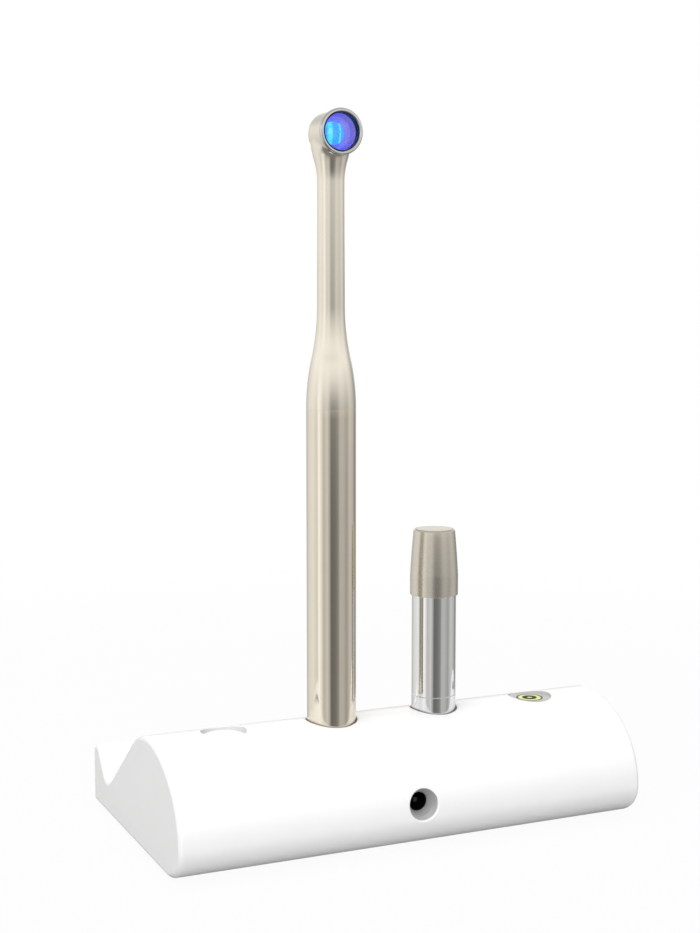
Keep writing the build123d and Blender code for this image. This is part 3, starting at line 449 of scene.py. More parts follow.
window_boss = 9.0 * mm
for x in (row_x["status"], row_x["meter"]):
    cut(housing, cylinder((x, crest_y), window_boss, boss_bottom, crest_z - 2.0 * mm), "UNION")
below = boss_bottom - 2 * mm
hand_bore = 7.9 * mm
spare_bore = 7.4 * mm
well_rim = 0.5 * mm
light_bore = 3.5 * mm
meter_bore = 7.0 * mm
meter_floor = 34.5 * mm
meter_rim = 0.15 * mm
dish_mouth = 6.9 * mm
dish_foot = 6.7 * mm
dish_floor = 34.7 * mm
plug_bore = 5.8 * mm
plug_floor = 33.6 * mm
dish_rim = 0.2 * mm
for key, steps, rim in (
    ("hand", [(hand_bore, 0), (hand_bore, below)], well_rim),
    ("spare", [(spare_bore, 0), (spare_bore, below)], well_rim),
    ("meter", [(meter_bore, 0), (meter_bore, meter_floor), (light_bore, meter_floor),
               (light_bore, below)], meter_rim),
    ("status", [(dish_mouth, 0), (dish_foot, dish_floor), (plug_bore, dish_floor),
                (plug_bore, plug_floor), (light_bore, plug_floor), (light_bore, below)], dish_rim),
):
    cut(housing, round_cutter((row_x[key], crest_y), steps, rim))
inlet_mouth = 4.6 * mm
inlet_bore = 2.9 * mm
cut(housing, round_cutter((0, inlet_z), [(inlet_mouth, 0), (inlet_bore, inlet_face - 0.3 * mm),
                                         (inlet_bore, inlet_face + mm)], rim=well_rim, front=True))
even_normals(housing)

# Moulding leaves a faint unevenness some 12 mm across, and handling a finer haze in the gloss
abs_white, tree, surface, place = new_material("glossy_moulded_abs")
surface["IOR"].default_value = 1.53
flow = add_node(tree, "ShaderNodeTexNoise", {"Vector": place, "Scale": 1 / (12 * mm), "Detail": 2.0})
tint = add_node(tree, "ShaderNodeMix", {"Factor": flow.outputs["Fac"], "A": linear("#F4F4F4"),
                                        "B": linear("#F1F1F1")}, data_type="RGBA")
haze = add_node(tree, "ShaderNodeTexNoise", {"Vector": place, "Scale": 1 / (3 * mm), "Detail": 5.0})
gloss = add_node(tree, "ShaderNodeMapRange", {"Value": haze.outputs["Fac"], "To Min": 0.16, "To Max": 0.24})
grain = add_node(tree, "ShaderNodeTexNoise", {"Vector": place, "Scale": 1 / (0.6 * mm), "Detail": 2.0})
bump = add_node(tree, "ShaderNodeBump", {"Height": grain.outputs["Fac"], "Strength": 0.04,
                                         "Distance": 0.02 * mm})
tree.links.new(tint.outputs["Result"], surface["Base Color"])
tree.links.new(gloss.outputs["Result"], surface["Roughness"])
tree.links.new(bump.outputs["Normal"], surface["Normal"])

housing.data.materials.clear()
housing.data.materials.append(abs_white)
# Painted shade: matt grey copies of the ABS in the inlet's funnel, and lighter ones on the left dish's wall
for finish, dark, light in (("matt_moulded_abs", "#A8A8A8", "#B4B4B4"),
                            ("silk_moulded_abs", "#C8C8C8", "#D2D2D2")):
    abs_painted_shade_copy = abs_white.copy()
    abs_painted_shade_copy.name = finish
    tree = abs_painted_shade_copy.node_tree
    surface = tree.nodes["Principled BSDF"].inputs
    for socket in ("Base Color", "Roughness"):
        tree.links.remove(surface[socket].links[0])
    place = add_node(tree, "ShaderNodeTexCoord").outputs["Object"]
    worn = add_node(tree, "ShaderNodeTexNoise", {"Vector": place, "Scale": 1 / (0.8 * mm), "Detail": 3.0})
    shade = add_node(tree, "ShaderNodeMix", {"Factor": worn.outputs["Fac"], "A": linear(dark),
                                             "B": linear(light)}, data_type="RGBA")
    tree.links.new(shade.outputs["Result"], surface["Base Color"])
    surface["Roughness"].default_value = 0.6
    housing.data.materials.append(abs_painted_shade_copy)
# Faces of the funnel and of the dish's wall take the painted shade
funnel_reach = 4.75 * mm
dish_reach = 6.95 * mm
for face in housing.data.polygons:
    middle = face.center
    in_funnel = middle.y > skin_y(inlet_z) + 0.5 * mm and middle.y < inlet_face \
        and math.hypot(middle.x, middle.z - inlet_z) < funnel_reach
    in_dish = middle.z > dish_floor and abs(face.normal.z) < 0.5 \
        and math.hypot(middle.x - row_x["status"], middle.y - crest_y) < dish_reach
    face.material_index = 1 if in_funnel else 2 if in_dish else 0
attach(housing, "charging_base")
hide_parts("base_housing")


# Underside. A flat plate of the same ABS with a plain satin face closes the base from below, held by
# four countersunk screws, and four soft rubber feet are pressed into its recesses.
def turned(name, corners, centre, axis=(0, 0, 1), sides=128, step=9.0):
    """Piece turned on a lathe from (radius, distance along the axis, rounding) round its half section.

    The corners run with the section at their right, and one that starts on the axis ends on it."""
    along = Vector(axis)
    across = Vector((1, 0, 0))
    third = along.cross(across)
    closed = corners[0][0] > 0
    path = [p for p, n in rounded(corners, step, closed)]
    if not closed:
        path = [Vector(corners[0][:2]), *path, Vector(corners[-1][:2])]
    rings = [[Vector(centre) + along * p.y + (across * u + third * v) * p.x for u, v in circle(1, sides)]
             for p in path]
    return join_rings(name, rings, "joined" if closed else "open")


def four_corners():
    """Geometry Nodes tree that stands one piece at the four corners of a rectangle."""
    tree = bpy.data.node_groups.new("four_corners", "GeometryNodeTree")
    sockets = tree.interface
    for socket, kind in (("Piece", "NodeSocketObject"), ("Length", "NodeSocketFloat"),
                         ("Depth", "NodeSocketFloat"), ("Middle", "NodeSocketVector"),
                         ("Material", "NodeSocketMaterial")):
        sockets.new_socket(name=socket, in_out="INPUT", socket_type=kind)
    sockets.new_socket(name="Geometry", in_out="OUTPUT", socket_type="NodeSocketGeometry")
    given = add_node(tree, "NodeGroupInput").outputs
    grid = add_node(tree, "GeometryNodeMeshGrid", {"Size X": given["Length"], "Size Y": given["Depth"],
                                                   "Vertices X": 2, "Vertices Y": 2})
    moved = add_node(tree, "GeometryNodeTransform", {"Geometry": grid.outputs["Mesh"],
                                                     "Translation": given["Middle"]})
    piece = add_node(tree, "GeometryNodeObjectInfo", {"Object": given["Piece"]})
    stood = add_node(tree, "GeometryNodeInstanceOnPoints", {"Points": moved.outputs[0],
                                                            "Instance": piece.outputs["Geometry"]})
    real = add_node(tree, "GeometryNodeRealizeInstances", {"Geometry": stood.outputs[0]})
    painted = add_node(tree, "GeometryNodeSetMaterial", {"Geometry": real.outputs[0],
                                                         "Material": given["Material"]})
    add_node(tree, "NodeGroupOutput", {"Geometry": painted.outputs[0]})
    return tree


def at_four_corners(name, piece, low, high, material):
    """One mesh with a copy of piece at each corner of the rectangle from low to high."""
    carrier = link_object(name, bpy.data.meshes.new(name))
    layout = carrier.modifiers.new("layout", "NODES")
    layout.node_group = corner_tree
    values = {"Piece": piece, "Length": high.x - low.x, "Depth": high.y - low.y,
              "Middle": ((low.x + high.x) / 2, (low.y + high.y) / 2, 0), "Material": material}
    for socket in corner_tree.interface.items_tree:
        if socket.in_out == "INPUT":
            layout[socket.identifier] = values[socket.name]
    bpy.context.view_layer.update()
    mesh = bpy.data.meshes.new_from_object(
        carrier.evaluated_get(bpy.context.evaluated_depsgraph_get()))
    carrier.modifiers.remove(layout)
    carrier.data = mesh
    mesh.name = name
    bpy.data.objects.remove(piece)
    even_normals(carrier)
    return carrier


def mottled(name, size, one, other, detail=2.0, roughness=0.5, metallic=0.0, shine=None, bump=None,
            more=None):
    """Material mottled at one size between two colours, which may also vary its shine and its height.

    shine is its roughness range, bump its strength and distance, and more holds further sockets."""
    made, tree, surface, place = new_material(name)
    grain = add_node(tree, "ShaderNodeTexNoise", {"Vector": place, "Scale": 1 / size, "Detail": detail})
    shade = add_node(tree, "ShaderNodeMix", {"Factor": grain.outputs["Fac"], "A": linear(one),
                                             "B": linear(other)}, data_type="RGBA")
    tree.links.new(shade.outputs["Result"], surface["Base Color"])
    for socket, value in {"Roughness": roughness, "Metallic": metallic, **(more or {})}.items():
        surface[socket].default_value = value
    if shine:
        gloss = add_node(tree, "ShaderNodeMapRange", {"Value": grain.outputs["Fac"], "To Min": shine[0],
                                                      "To Max": shine[1]})
        tree.links.new(gloss.outputs["Result"], surface["Roughness"])
    if bump:
        relief = add_node(tree, "ShaderNodeBump", {"Height": grain.outputs["Fac"], "Strength": bump[0],
                                                   "Distance": bump[1]})
        tree.links.new(relief.outputs["Normal"], surface["Normal"])
    return made


def dress(material, *names):
    """Gives CAD nodes that keep their own shape a finished material."""
    for name in names:
        nodes[name].data.materials.clear()
        nodes[name].data.materials.append(material)


corner_tree = four_corners()

# Plain satin ABS: the mould's fine spark texture gives it an even, dull sheen
abs_satin = mottled("satin_moulded_abs", 0.35 * mm, "#EBEBE9", "#E2E2E0", 3.0, bump=(0.25, 0.05 * mm))
dress(abs_satin, "bottom_plate")

# Moulded rubber: dark grey, dusty in patches, with hardly any shine
foot_rubber, tree, surface, place = new_material("moulded_rubber")
dust = add_node(tree, "ShaderNodeTexNoise", {"Vector": place, "Scale": 1 / (2 * mm), "Detail": 4.0})
shade = add_node(tree, "ShaderNodeMix", {"Factor": dust.outputs["Fac"], "A": linear("#232323"),
                                         "B": linear("#3A3A39")}, data_type="RGBA")
pores = add_node(tree, "ShaderNodeTexNoise", {"Vector": place, "Scale": 1 / (0.2 * mm)})
bump = add_node(tree, "ShaderNodeBump", {"Height": pores.outputs["Fac"], "Strength": 0.3,
                                         "Distance": 0.05 * mm})
tree.links.new(shade.outputs["Result"], surface["Base Color"])
tree.links.new(bump.outputs["Normal"], surface["Normal"])
surface["Roughness"].default_value = 0.78
dress(foot_rubber, "cup_pad")

foot_low, foot_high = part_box("rubber_feet")
foot_radius = 5.0 * mm
foot_rim = 4.0 * mm
foot_dish = 3.6 * mm
foot_hollow = 0.15 * mm
inset = Vector((foot_radius, foot_radius, 0))
foot = turned("foot", [(0, foot_low.z), (0, foot_high.z), (foot_radius, foot_high.z),
                       (foot_radius, foot_low.z, 0.3 * mm), (foot_rim, foot_low.z),
                       (foot_dish, foot_low.z + foot_hollow), (0, foot_low.z + foot_hollow)],
              (0, 0, 0), sides=64)
feet = at_four_corners("feet", foot, foot_low + inset, foot_high - inset, foot_rubber)
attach(feet, "charging_base")
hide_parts("rubber_feet")

# Zinc-plated steel: a cool bright grey with soft wear from the driver
zinc_steel = mottled("zinc_plated_steel", 0.8 * mm, "#B9BDC0", "#D2D4D5", 4.0, metallic=1.0,
                     shine=(0.22, 0.4))
dress(zinc_steel, "plate_screws", "board_screws", "pin_spring")

# Wells in the crest. Dark moulded cups stand on the plate under the housing's two holes. The left
# one cushions the handpiece, and the right one carries a gold-plated ring and a sprung pin that the
# spare pack stands on, with strips to the board.
cup_plastic = mottled("dark_grey_moulded_nylon", 0.4 * mm, "#3B3C3E", "#4A4B4D", 3.0, roughness=0.45,
                      bump=(0.2, 0.04 * mm))
dress(cup_plastic, "handpiece_cup", "charging_cup")

# Gold-plated brass: a warm even metal, a little duller where parts rub on it
gold_plate = mottled("gold_plated_brass", 0.6 * mm, "#E3BE73", "#EFD194", 3.0, metallic=1.0,
                     shine=(0.14, 0.3))
dress(gold_plate, "contact_ring", "charge_pin", "contact_strips", "spare_contact_tip", "fitted_contact_tip",
      "battery_contact")

# Black moulded plastic of the electronic parts and of the inlet's body
black_mould = mottled("black_moulded_plastic", 0.25 * mm, "#0E0E0F", "#1A1A1B", 3.0, roughness=0.42,
                      bump=(0.2, 0.03 * mm))
dress(black_mould, "inlet_body", "pin_holder", "charge_controller", "meter_sensor", "driver_controller",
      "switches", "board_carrier")

# Blackened nickel of the inlet's pin: a dim metal that only glints deep in the bore
black_nickel = mottled("blackened_nickel", 0.5 * mm, "#3A3A3B", "#4C4C4D", 3.0, roughness=0.4,
                       metallic=1.0)
dress(black_nickel, "inlet_contact_pin")

# Circuit boards inside the base and the handpiece: glass-epoxy with a green solder mask, the glass
# weave just showing, and copper-coloured flat ribbons to the two small boards under the dishes.
board_mask, tree, surface, place = new_material("green_solder_mask")
weave = add_node(tree, "ShaderNodeTexWave", {"Vector": place, "Scale": 1 / (0.5 * mm) / math.tau,
                                             "Distortion": 0.4}, bands_direction="X")
weft = add_node(tree, "ShaderNodeTexWave", {"Vector": place, "Scale": 1 / (0.5 * mm) / math.tau,
                                            "Distortion": 0.4}, bands_direction="Y")
both = add_node(tree, "ShaderNodeMath", {0: weave.outputs["Fac"], 1: weft.outputs["Fac"]},
                operation="MULTIPLY")
shade = add_node(tree, "ShaderNodeMix", {"Factor": both.outputs[0], "A": linear("#14532F"),
                                         "B": linear("#1C6A3E")}, data_type="RGBA")
tree.links.new(shade.outputs["Result"], surface["Base Color"])
surface["Roughness"].default_value = 0.3
dress(board_mask, "charger_board", "meter_board", "status_board", "driver_board", "spare_cell_board",
      "fitted_cell_board")

# Polyimide film: a glossy amber sheet, with its copper tracks showing as fine stripes
ribbon_film, tree, surface, place = new_material("polyimide_film")
lines = add_node(tree, "ShaderNodeTexWave", {"Vector": place, "Scale": 1 / (0.8 * mm) / math.tau},
                 bands_direction="X")
shade = add_node(tree, "ShaderNodeMix", {"Factor": lines.outputs["Fac"], "A": linear("#A5621E"),
                                         "B": linear("#C07C33")}, data_type="RGBA")
tree.links.new(shade.outputs["Result"], surface["Base Color"])
surface["Roughness"].default_value = 0.28
dress(ribbon_film, "meter_ribbon", "status_ribbon")

# Bare drawn aluminium: a pale grey metal with a soft, slightly uneven sheen
can_metal = mottled("bare_aluminium_can", 0.5 * mm, "#D6D8DB", "#E4E5E7", 4.0, metallic=1.0,
                    shine=(0.2, 0.36))
dress(can_metal, "filter_capacitor")


# Light meter at the right end. A satin grey ring with a thin lip follows the hump and slopes gently
# down to a pale yellow-green filter, with a dark ring round a small clear middle over the sensor.
def fit(piece, material, body, node):
    """Gives a finished piece its material and body, and hides the CAD node that it stands for."""
    piece.data.materials.clear()
    piece.data.materials.append(material)
    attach(piece, body)
    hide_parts(node)


meter_at = (row_x["meter"], crest_y)
meter_low, meter_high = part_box("meter_window")
seat_z = meter_low.z
filter_lift = 0.2 * mm
filter_z = meter_high.z + filter_lift
funnel_bore = 4.3 * mm
funnel_bottom = 35.5 * mm
funnel_rise = 0.16
lip_start = 6.45 * mm
lip_rise = 3.2
ring_radius = 6.93 * mm
ring_drop = 0.06 * mm
ring_steps = 16
ring_sides = 128
# The ring's top is the lower of its own slope and the hump's face
rows = []
for k in range(ring_steps + 1):
    r = funnel_bore + (ring_radius - funnel_bore) * k / ring_steps
    slope = funnel_bottom + (r - funnel_bore) * funnel_rise + max(r - lip_start, 0) * lip_rise
    rows.append([(meter_at[0] + x, meter_at[1] + y, min(slope, skin_z(meter_at[1] + y) - ring_drop))
                 for x, y in circle(r, ring_sides)])
rows += [[(meter_at[0] + x, meter_at[1] + y, seat_z) for x, y in circle(r, ring_sides)]
         for r in (ring_radius, funnel_bore)]
meter_ring = join_rings("meter_ring", rows, "joined")
# Satin grey lacquer: even and half metallic, with blurred reflections
satin_grey = mottled("satin_grey_lacquer", 0.3 * mm, "#BEBDBA", "#CAC9C6", 3.0, roughness=0.32, metallic=0.5)
fit(meter_ring, satin_grey, "charging_base", "meter_dish")

# Dyed filter sheet: pale yellow-green, an undyed spot over the sensor, and painted gap shade at its edge
filter_radius = 4.22 * mm
meter_filter = turned("meter_filter", [(0, seat_z), (0, filter_z), (filter_radius, filter_z, 0.12 * mm),
                                       (filter_radius, seat_z)], (*meter_at, 0))
filter_dye, tree, surface, place = new_material("yellow_green_filter_sheet")
centred = add_node(tree, "ShaderNodeMapping", {"Vector": place, "Location": (-meter_at[0], -meter_at[1], 0)})
flat = add_node(tree, "ShaderNodeVectorMath", {0: centred.outputs[0], 1: (1, 1, 0)}, operation="MULTIPLY")
radius = add_node(tree, "ShaderNodeVectorMath", {0: flat.outputs[0]}, operation="LENGTH").outputs["Value"]
# Painted shade of the gap round the filter: a dark olive band at the filter's edge
rim = add_node(tree, "ShaderNodeMapRange", {"Value": radius, "From Min": 3.55 * mm, "From Max": 3.75 * mm},
               interpolation_type="SMOOTHSTEP")
clear = add_node(tree, "ShaderNodeMapRange", {"Value": radius, "From Min": 0.6 * mm, "From Max": 0.9 * mm},
                 interpolation_type="SMOOTHSTEP")
dyed = add_node(tree, "ShaderNodeMix", {"Factor": clear.outputs["Result"], "A": linear("#E6E6D2"),
                                        "B": linear("#D9E093")}, data_type="RGBA")
shade = add_node(tree, "ShaderNodeMix", {"Factor": rim.outputs["Result"], "A": dyed.outputs["Result"],
                                         "B": linear("#3A4020")}, data_type="RGBA")
tree.links.new(shade.outputs["Result"], surface["Base Color"])
surface["Roughness"].default_value = 0.3
surface["Specular IOR Level"].default_value = 0.25
fit(meter_filter, filter_dye, "charging_base", "meter_window")

# Printed ink: a dark olive, dull and with hardly any shine
print_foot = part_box("meter_aperture")[0].z + filter_lift
print_top = print_foot + 0.08 * mm
print_inner = 0.85 * mm
print_outer = 2.35 * mm
aperture = turned("meter_aperture_ring", [(print_inner, print_foot), (print_inner, print_top),
                                          (print_outer, print_top), (print_outer, print_foot)],
                  (*meter_at, 0), sides=96)
olive_print = mottled("dark_olive_print", 0.3 * mm, "#30341A", "#434726", roughness=0.6,
                      more={"Specular IOR Level": 0.2})
fit(aperture, olive_print, "charging_base", "meter_aperture")

# Status window at the left end. A milky plug fills the bottom of a shallow dish in the housing, with
# its light on the small board below.
status_at = (row_x["status"], crest_y)
window_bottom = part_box("status_window")[0].z
plug_radius = 5.78 * mm
status_plug = turned("status_plug", [(0, window_bottom), (0, dish_floor),
                                     (plug_radius, dish_floor, 0.15 * mm), (plug_radius, window_bottom)],
                     (*status_at, 0))
# Milky acrylic: light soaks about a millimetre into it, so it looks soft under its gloss
milky_plastic = mottled("milky_diffuser_acrylic", 4 * mm, "#F7F7F6", "#F1F2F2", roughness=0.2,
                        more={"Subsurface Weight": 0.3, "Subsurface Radius": (1.2, 1.2, 1.2),
                              "Subsurface Scale": 1.0 * mm})
fit(status_plug, milky_plastic, "charging_base", "status_window")

# Phosphor under clear resin: a pale yellow package
small_light = mottled("white_led_package", 0.5 * mm, "#F2EBC8", "#E6DDB0", roughness=0.3)
dress(small_light, "status_light")


# Battery packs, one in the handpiece and one in the charging well. Each is a bright nickel-plated
# can with a fine rolled seam, crimped into a satin champagne cap with a softly domed end.
def bend(start, end, leaving, count=16):
    """Points after start along the arc that leaves it in one direction and ends at end."""
    start, end, leaving = Vector(start), Vector(end), Vector(leaving).normalized()
    chord = end - start
    side = Vector((-leaving.y, leaving.x))
    radius = chord.length_squared / (2 * side.dot(chord))
    centre = start + side * radius
    turn = 2 * math.atan2(side.dot(chord), leaving.dot(chord))
    found = []
    for k in range(1, count + 1):
        angle = turn * k / count
        spoke = start - centre
        found.append((centre.x + spoke.x * math.cos(angle) - spoke.y * math.sin(angle),
                      centre.y + spoke.x * math.sin(angle) + spoke.y * math.cos(angle)))
    return found


def drawn_plate(name, draw, line, smear, one, other, shine):
    """Mirror plating whose shine varies with fine lines drawn out lengthwise and with wider smears."""
    made, tree, surface, place = new_material(name)
    stretched = add_node(tree, "ShaderNodeMapping", {"Vector": place, "Scale": (1, 1, draw)})
    lines = add_node(tree, "ShaderNodeTexNoise", {"Vector": stretched.outputs[0], "Scale": 1 / line,
                                                  "Detail": 2.0})
    smears = add_node(tree, "ShaderNodeTexNoise", {"Vector": place, "Scale": 1 / smear, "Detail": 3.0})
    mixed = add_node(tree, "ShaderNodeMath", {0: lines.outputs["Fac"], 1: smears.outputs["Fac"]},
                     operation="MULTIPLY")
    gloss = add_node(tree, "ShaderNodeMapRange", {"Value": mixed.outputs[0], "From Max": 0.5,
                                                  "To Min": shine[0], "To Max": shine[1]})
    shade = add_node(tree, "ShaderNodeMix", {"Factor": smears.outputs["Fac"], "A": linear(one),
                                             "B": linear(other)}, data_type="RGBA")
    tree.links.new(shade.outputs["Result"], surface["Base Color"])
    tree.links.new(gloss.outputs["Result"], surface["Roughness"])
    surface["Metallic"].default_value = 1.0
    return made


can_radius = 6.9 * mm
can_wall = 0.4 * mm
can_floor = 0.6 * mm
cap_radius = 7.5 * mm
cap_top_radius = 6.45 * mm
cap_height = 20.8 * mm
visible_can = 59.7 * mm
cap_socket = 5.0 * mm
seam_at = 28.1 * mm
seam_half = 0.16 * mm
seam_depth = 0.14 * mm
seam_edge = 0.06 * mm
plug_end = 53.2 * mm
tip_hole = 2.9 * mm

# Bright nickel plate: a neutral mirror with faint lengthwise polishing lines 0.15 mm apart
nickel = drawn_plate("bright_nickel_plate", 0.02, 0.15 * mm, 9 * mm, "#EAEBEB", "#E2E4E5", (0.04, 0.10))

# Satin champagne anodising on aluminium: bead-blasted first, so its reflections are blurred
cap_anodised = mottled("satin_champagne_anodised_aluminium", 0.2 * mm, "#D6D0C4", "#DCD7CC", 3.0,
                       metallic=1.0, shine=(0.25, 0.29), bump=(0.04, 0.02 * mm))

bore = can_radius - can_wall
cap_end = visible_can + cap_height
shoulder = (cap_top_radius, cap_end - 0.5 * mm)
taper_start = visible_can + 6.0 * mm
cap_side = bend((cap_radius, taper_start), shoulder, (-0.05, 1))
# The end is a shallow dome with a fine turned line round it, inside a narrow bevelled rim
dome_rim = (5.75 * mm, cap_end - 0.12 * mm)
dome = bend((0, cap_end), dome_rim, (1, 0), 12)
line_width = 0.16 * mm
line_foot = dome_rim[1] - 0.2 * mm
cap_section = [(0, plug_end), (0, cap_end), *dome, (dome_rim[0], line_foot),
               (dome_rim[0] + line_width, line_foot), (dome_rim[0] + line_width, dome_rim[1] - 0.03 * mm),
               (*shoulder, 0.12 * mm), *[(r, h) for r, h in reversed(cap_side[:-2])],
               (cap_radius, taper_start),
               (cap_radius, visible_can, 0.25 * mm), (can_radius, visible_can),
               (can_radius, visible_can + cap_socket), (bore, visible_can + cap_socket), (bore, plug_end)]
can_section = [(tip_hole, 0), (tip_hole, can_floor), (bore, can_floor), (bore, visible_can + cap_socket),
               (can_radius, visible_can + cap_socket), (can_radius, seam_at + seam_half, seam_edge),
               (can_radius - seam_depth, seam_at), (can_radius, seam_at - seam_half, seam_edge),
               (can_radius, 0, 0.5 * mm)]
for pack, sign in (("spare", 1), ("fitted", -1)):
    low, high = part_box(f"{pack}_battery_can")
    start = low.z if sign > 0 else high.z
    middle = ((low.x + high.x) / 2, (low.y + high.y) / 2, start)
    for name, section, metal, slot in (("battery_can", can_section, nickel, "can_chrome"),
                                       ("battery_cap", cap_section, cap_anodised, "cap_champagne")):
        piece = turned(f"{pack}_{name}_shell", section, middle, (0, 0, sign), sides=192)
        even_normals(piece)
        fit(piece, metal, f"{pack}_pack", f"{pack}_{name}")

# Shrink film round the steel cell: a thin glossy blue sleeve
film = mottled("blue_shrink_film", 3 * mm, "#1F4C9C", "#2A59AA", roughness=0.22)
dress(film, "spare_battery_cell", "fitted_battery_cell")

# Undyed moulded nylon: a warm off-white with a dull sheen
nylon = mottled("natural_nylon", 1 * mm, "#E4E0D4", "#D9D4C6", roughness=0.45)
dress(nylon, "spare_tip_insulator", "fitted_tip_insulator")

# Barrel. A plain polished tube with a champagne nickel finish, open at its lower end for the battery
# pack, with the holes of the two buttons at its back.
barrel_low, barrel_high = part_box("barrel")
hand_at = ((barrel_low.x + barrel_high.x) / 2, (barrel_low.y + barrel_high.y) / 2)
barrel_radius = (barrel_high.x - barrel_low.x) / 2
barrel_bore = 7.0 * mm
tube_rows = 40
flange_width = 0.7 * mm
key_gap = 0.1 * mm
tube_section = [(barrel_bore, barrel_low.z), (barrel_bore, barrel_high.z),
                (barrel_radius, barrel_high.z, 0.03 * mm)]
tube_section += [(barrel_radius, barrel_high.z - (barrel_high.z - barrel_low.z) * k / tube_rows)
                 for k in range(1, tube_rows)]
tube_section += [(barrel_radius, barrel_low.z, 0.2 * mm)]
barrel = turned("polished_barrel", tube_section, (*hand_at, 0), sides=256)
buttons = {}
for key in ("power", "mode"):
    low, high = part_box(f"{key}_button")
    # The flange behind the wall is wider all round than the key's face
    key_radius = (high.z - low.z) / 2 - flange_width
    buttons[key] = ((low.z + high.z) / 2, key_radius)
    cut(barrel, cylinder((hand_at[0], (low.z + high.z) / 2), key_radius + key_gap,
                         hand_at[1] + 2 * mm, barrel_high.y + mm, along="Y", sides=96))
even_normals(barrel)

# Polished champagne nickel: a warm mirror, slightly drawn along the tube, with faint smears
champagne = drawn_plate("polished_champagne_nickel", 0.015, 0.18 * mm, 10 * mm, "#E9E2D4", "#E3DBCB",
                        (0.07, 0.13))
fit(barrel, champagne, "handpiece", "barrel")


# Neck and head. One turned and polished shell with the barrel's finish: a spigot in the barrel, a
# shoulder like a bottle's, the slim neck, and the short round head that the neck swells into.
bezel_low, bezel_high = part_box("lens_bezel")
head_centre = Vector((*hand_at, (bezel_low.z + bezel_high.z) / 2))
head_radius = 6.3 * mm
head_back = 6.0 * mm
head_back_round = 4.5 * mm
head_bore = 5.8 * mm
head_bore_back = 1.8 * mm
neck_radius = 4.15 * mm
neck_bore = 2.8 * mm
spigot = 5.0 * mm
spigot_radius = 7.0 * mm
spigot_bore = 5.5 * mm
flare_top = barrel_high.z + 30.7 * mm
neck_end = flare_top + 36.5 * mm
swell_arc = 22.0 * mm
swell = 1.05 * mm
neck_top_radius = 5.8 * mm
swell_turn = math.acos(1 - swell / swell_arc)
swell_end = neck_end + swell_arc * math.sin(swell_turn)
shoulder = (neck_top_radius - neck_radius - swell) / math.tan(swell_turn / 2)
shoulder_arc = shoulder / math.sin(swell_turn)


def neck_wall(z):
    """Radius of the turned neck at one height."""
    if z < flare_top:
        half_drop, half_flare = (barrel_radius - neck_radius) / 2, (flare_top - barrel_high.z) / 2
        bow = (half_flare ** 2 + half_drop ** 2) / (2 * half_drop)
        if z < barrel_high.z + half_flare:
            return barrel_radius - bow + math.sqrt(bow ** 2 - (z - barrel_high.z) ** 2)
        return neck_radius + bow - math.sqrt(bow ** 2 - (flare_top - z) ** 2)
    if z < neck_end:
        return neck_radius
    if z < swell_end:
        return neck_radius + swell_arc - math.sqrt(swell_arc ** 2 - (z - neck_end) ** 2)
    left = max(swell_end + shoulder - z, 0)
    return neck_top_radius - shoulder_arc + math.sqrt(shoulder_arc ** 2 - left ** 2)


def outside_head(p):
    """Distance from p to the neck and the head melted into each other, negative inside."""
    across = math.hypot(p.x, p.z)
    far, back = across - head_radius + head_back_round, p.y - head_back + head_back_round
    head = math.hypot(max(far, 0), max(back, 0)) + min(max(far, back), 0) - head_back_round
    neck = max(math.hypot(p.x, p.y) - neck_wall(head_centre.z + p.z), p.z)
    # The fillet between them is widest under the head, and fades out at its sides and to the front
    fade = min(max((p.z + 5.0 * mm) / (4.0 * mm), 0), 1)
    ahead = min(max((-p.y - 4.2 * mm) / (2.2 * mm), 0), 1)
    narrow = max(fade * fade * (3 - 2 * fade), ahead * ahead * (3 - 2 * ahead))
    fillet = (1.6 - 1.4 * narrow) * mm
    mix = min(max(0.5 + (neck - head) / (2 * fillet), 0), 1)
    return neck + (head - neck) * mix - fillet * mix * (1 - mix)


def head_point(direction):
    """Where a line from the head's centre leaves the melted shape."""
    near, far = 0.0, 14.0 * mm
    for _ in range(24):
        reach = (near + far) / 2
        near, far = (reach, far) if outside_head(direction * reach) < 0 else (near, reach)
    return head_centre + direction * near


neck_sides = 160
flare_rows = 48
neck_rows = 18
fan_rows = 10
fan_start = -60
levels = [(spigot_radius, barrel_high.z - spigot), (spigot_radius, barrel_high.z),
          (barrel_radius - 0.03 * mm, barrel_high.z), (barrel_radius, barrel_high.z + 0.03 * mm)]
levels += [(neck_wall(z), z) for z in (barrel_high.z + (flare_top - barrel_high.z) * k / flare_rows
                                       for k in range(1, flare_rows))]
levels += [(neck_radius, flare_top + (neck_end - flare_top) * k / neck_rows)
           for k in range(neck_rows + 1)]
fan_foot = head_point(Vector((math.cos(math.radians(fan_start)), 0, math.sin(math.radians(fan_start)))))
levels += [(neck_wall(z), z) for z in (neck_end + (fan_foot.z - neck_end) * k / fan_rows
                                       for k in range(1, fan_rows))]
rings = [[(hand_at[0] + x, hand_at[1] + y, z) for x, y in circle(r, neck_sides)] for r, z in levels]
for lift in (*range(fan_start, -20), *range(-20, 89, 2)):
    up = math.radians(lift)
    rings.append([head_point(Vector((x, y, math.sin(up)))) for x, y in circle(math.cos(up), neck_sides)])
head_shell = join_rings("neck_and_head_shell", rings)
head_front = bezel_high.y
beside_head = 0.02
ahead_of_head = 0.03
cut(head_shell, block(Vector((hand_at[0] - beside_head, hand_at[1] - ahead_of_head,
                              head_centre.z - beside_head)),
                      Vector((hand_at[0] + beside_head, head_front, head_centre.z + beside_head))))
cut(head_shell, cylinder((hand_at[0], head_centre.z), head_bore, head_front - mm,
                         hand_at[1] + head_bore_back, along="Y", sides=128))
bore_foot = barrel_high.z - spigot - mm
bore_top = head_centre.z - head_bore / 2
cut(head_shell, turned("neck_bore", [(0, bore_foot), (0, bore_top), (neck_bore, bore_top),
                                     (neck_bore, flare_top), (spigot_bore, barrel_high.z),
                                     (spigot_bore, bore_foot)], (*hand_at, 0)))
even_normals(head_shell)

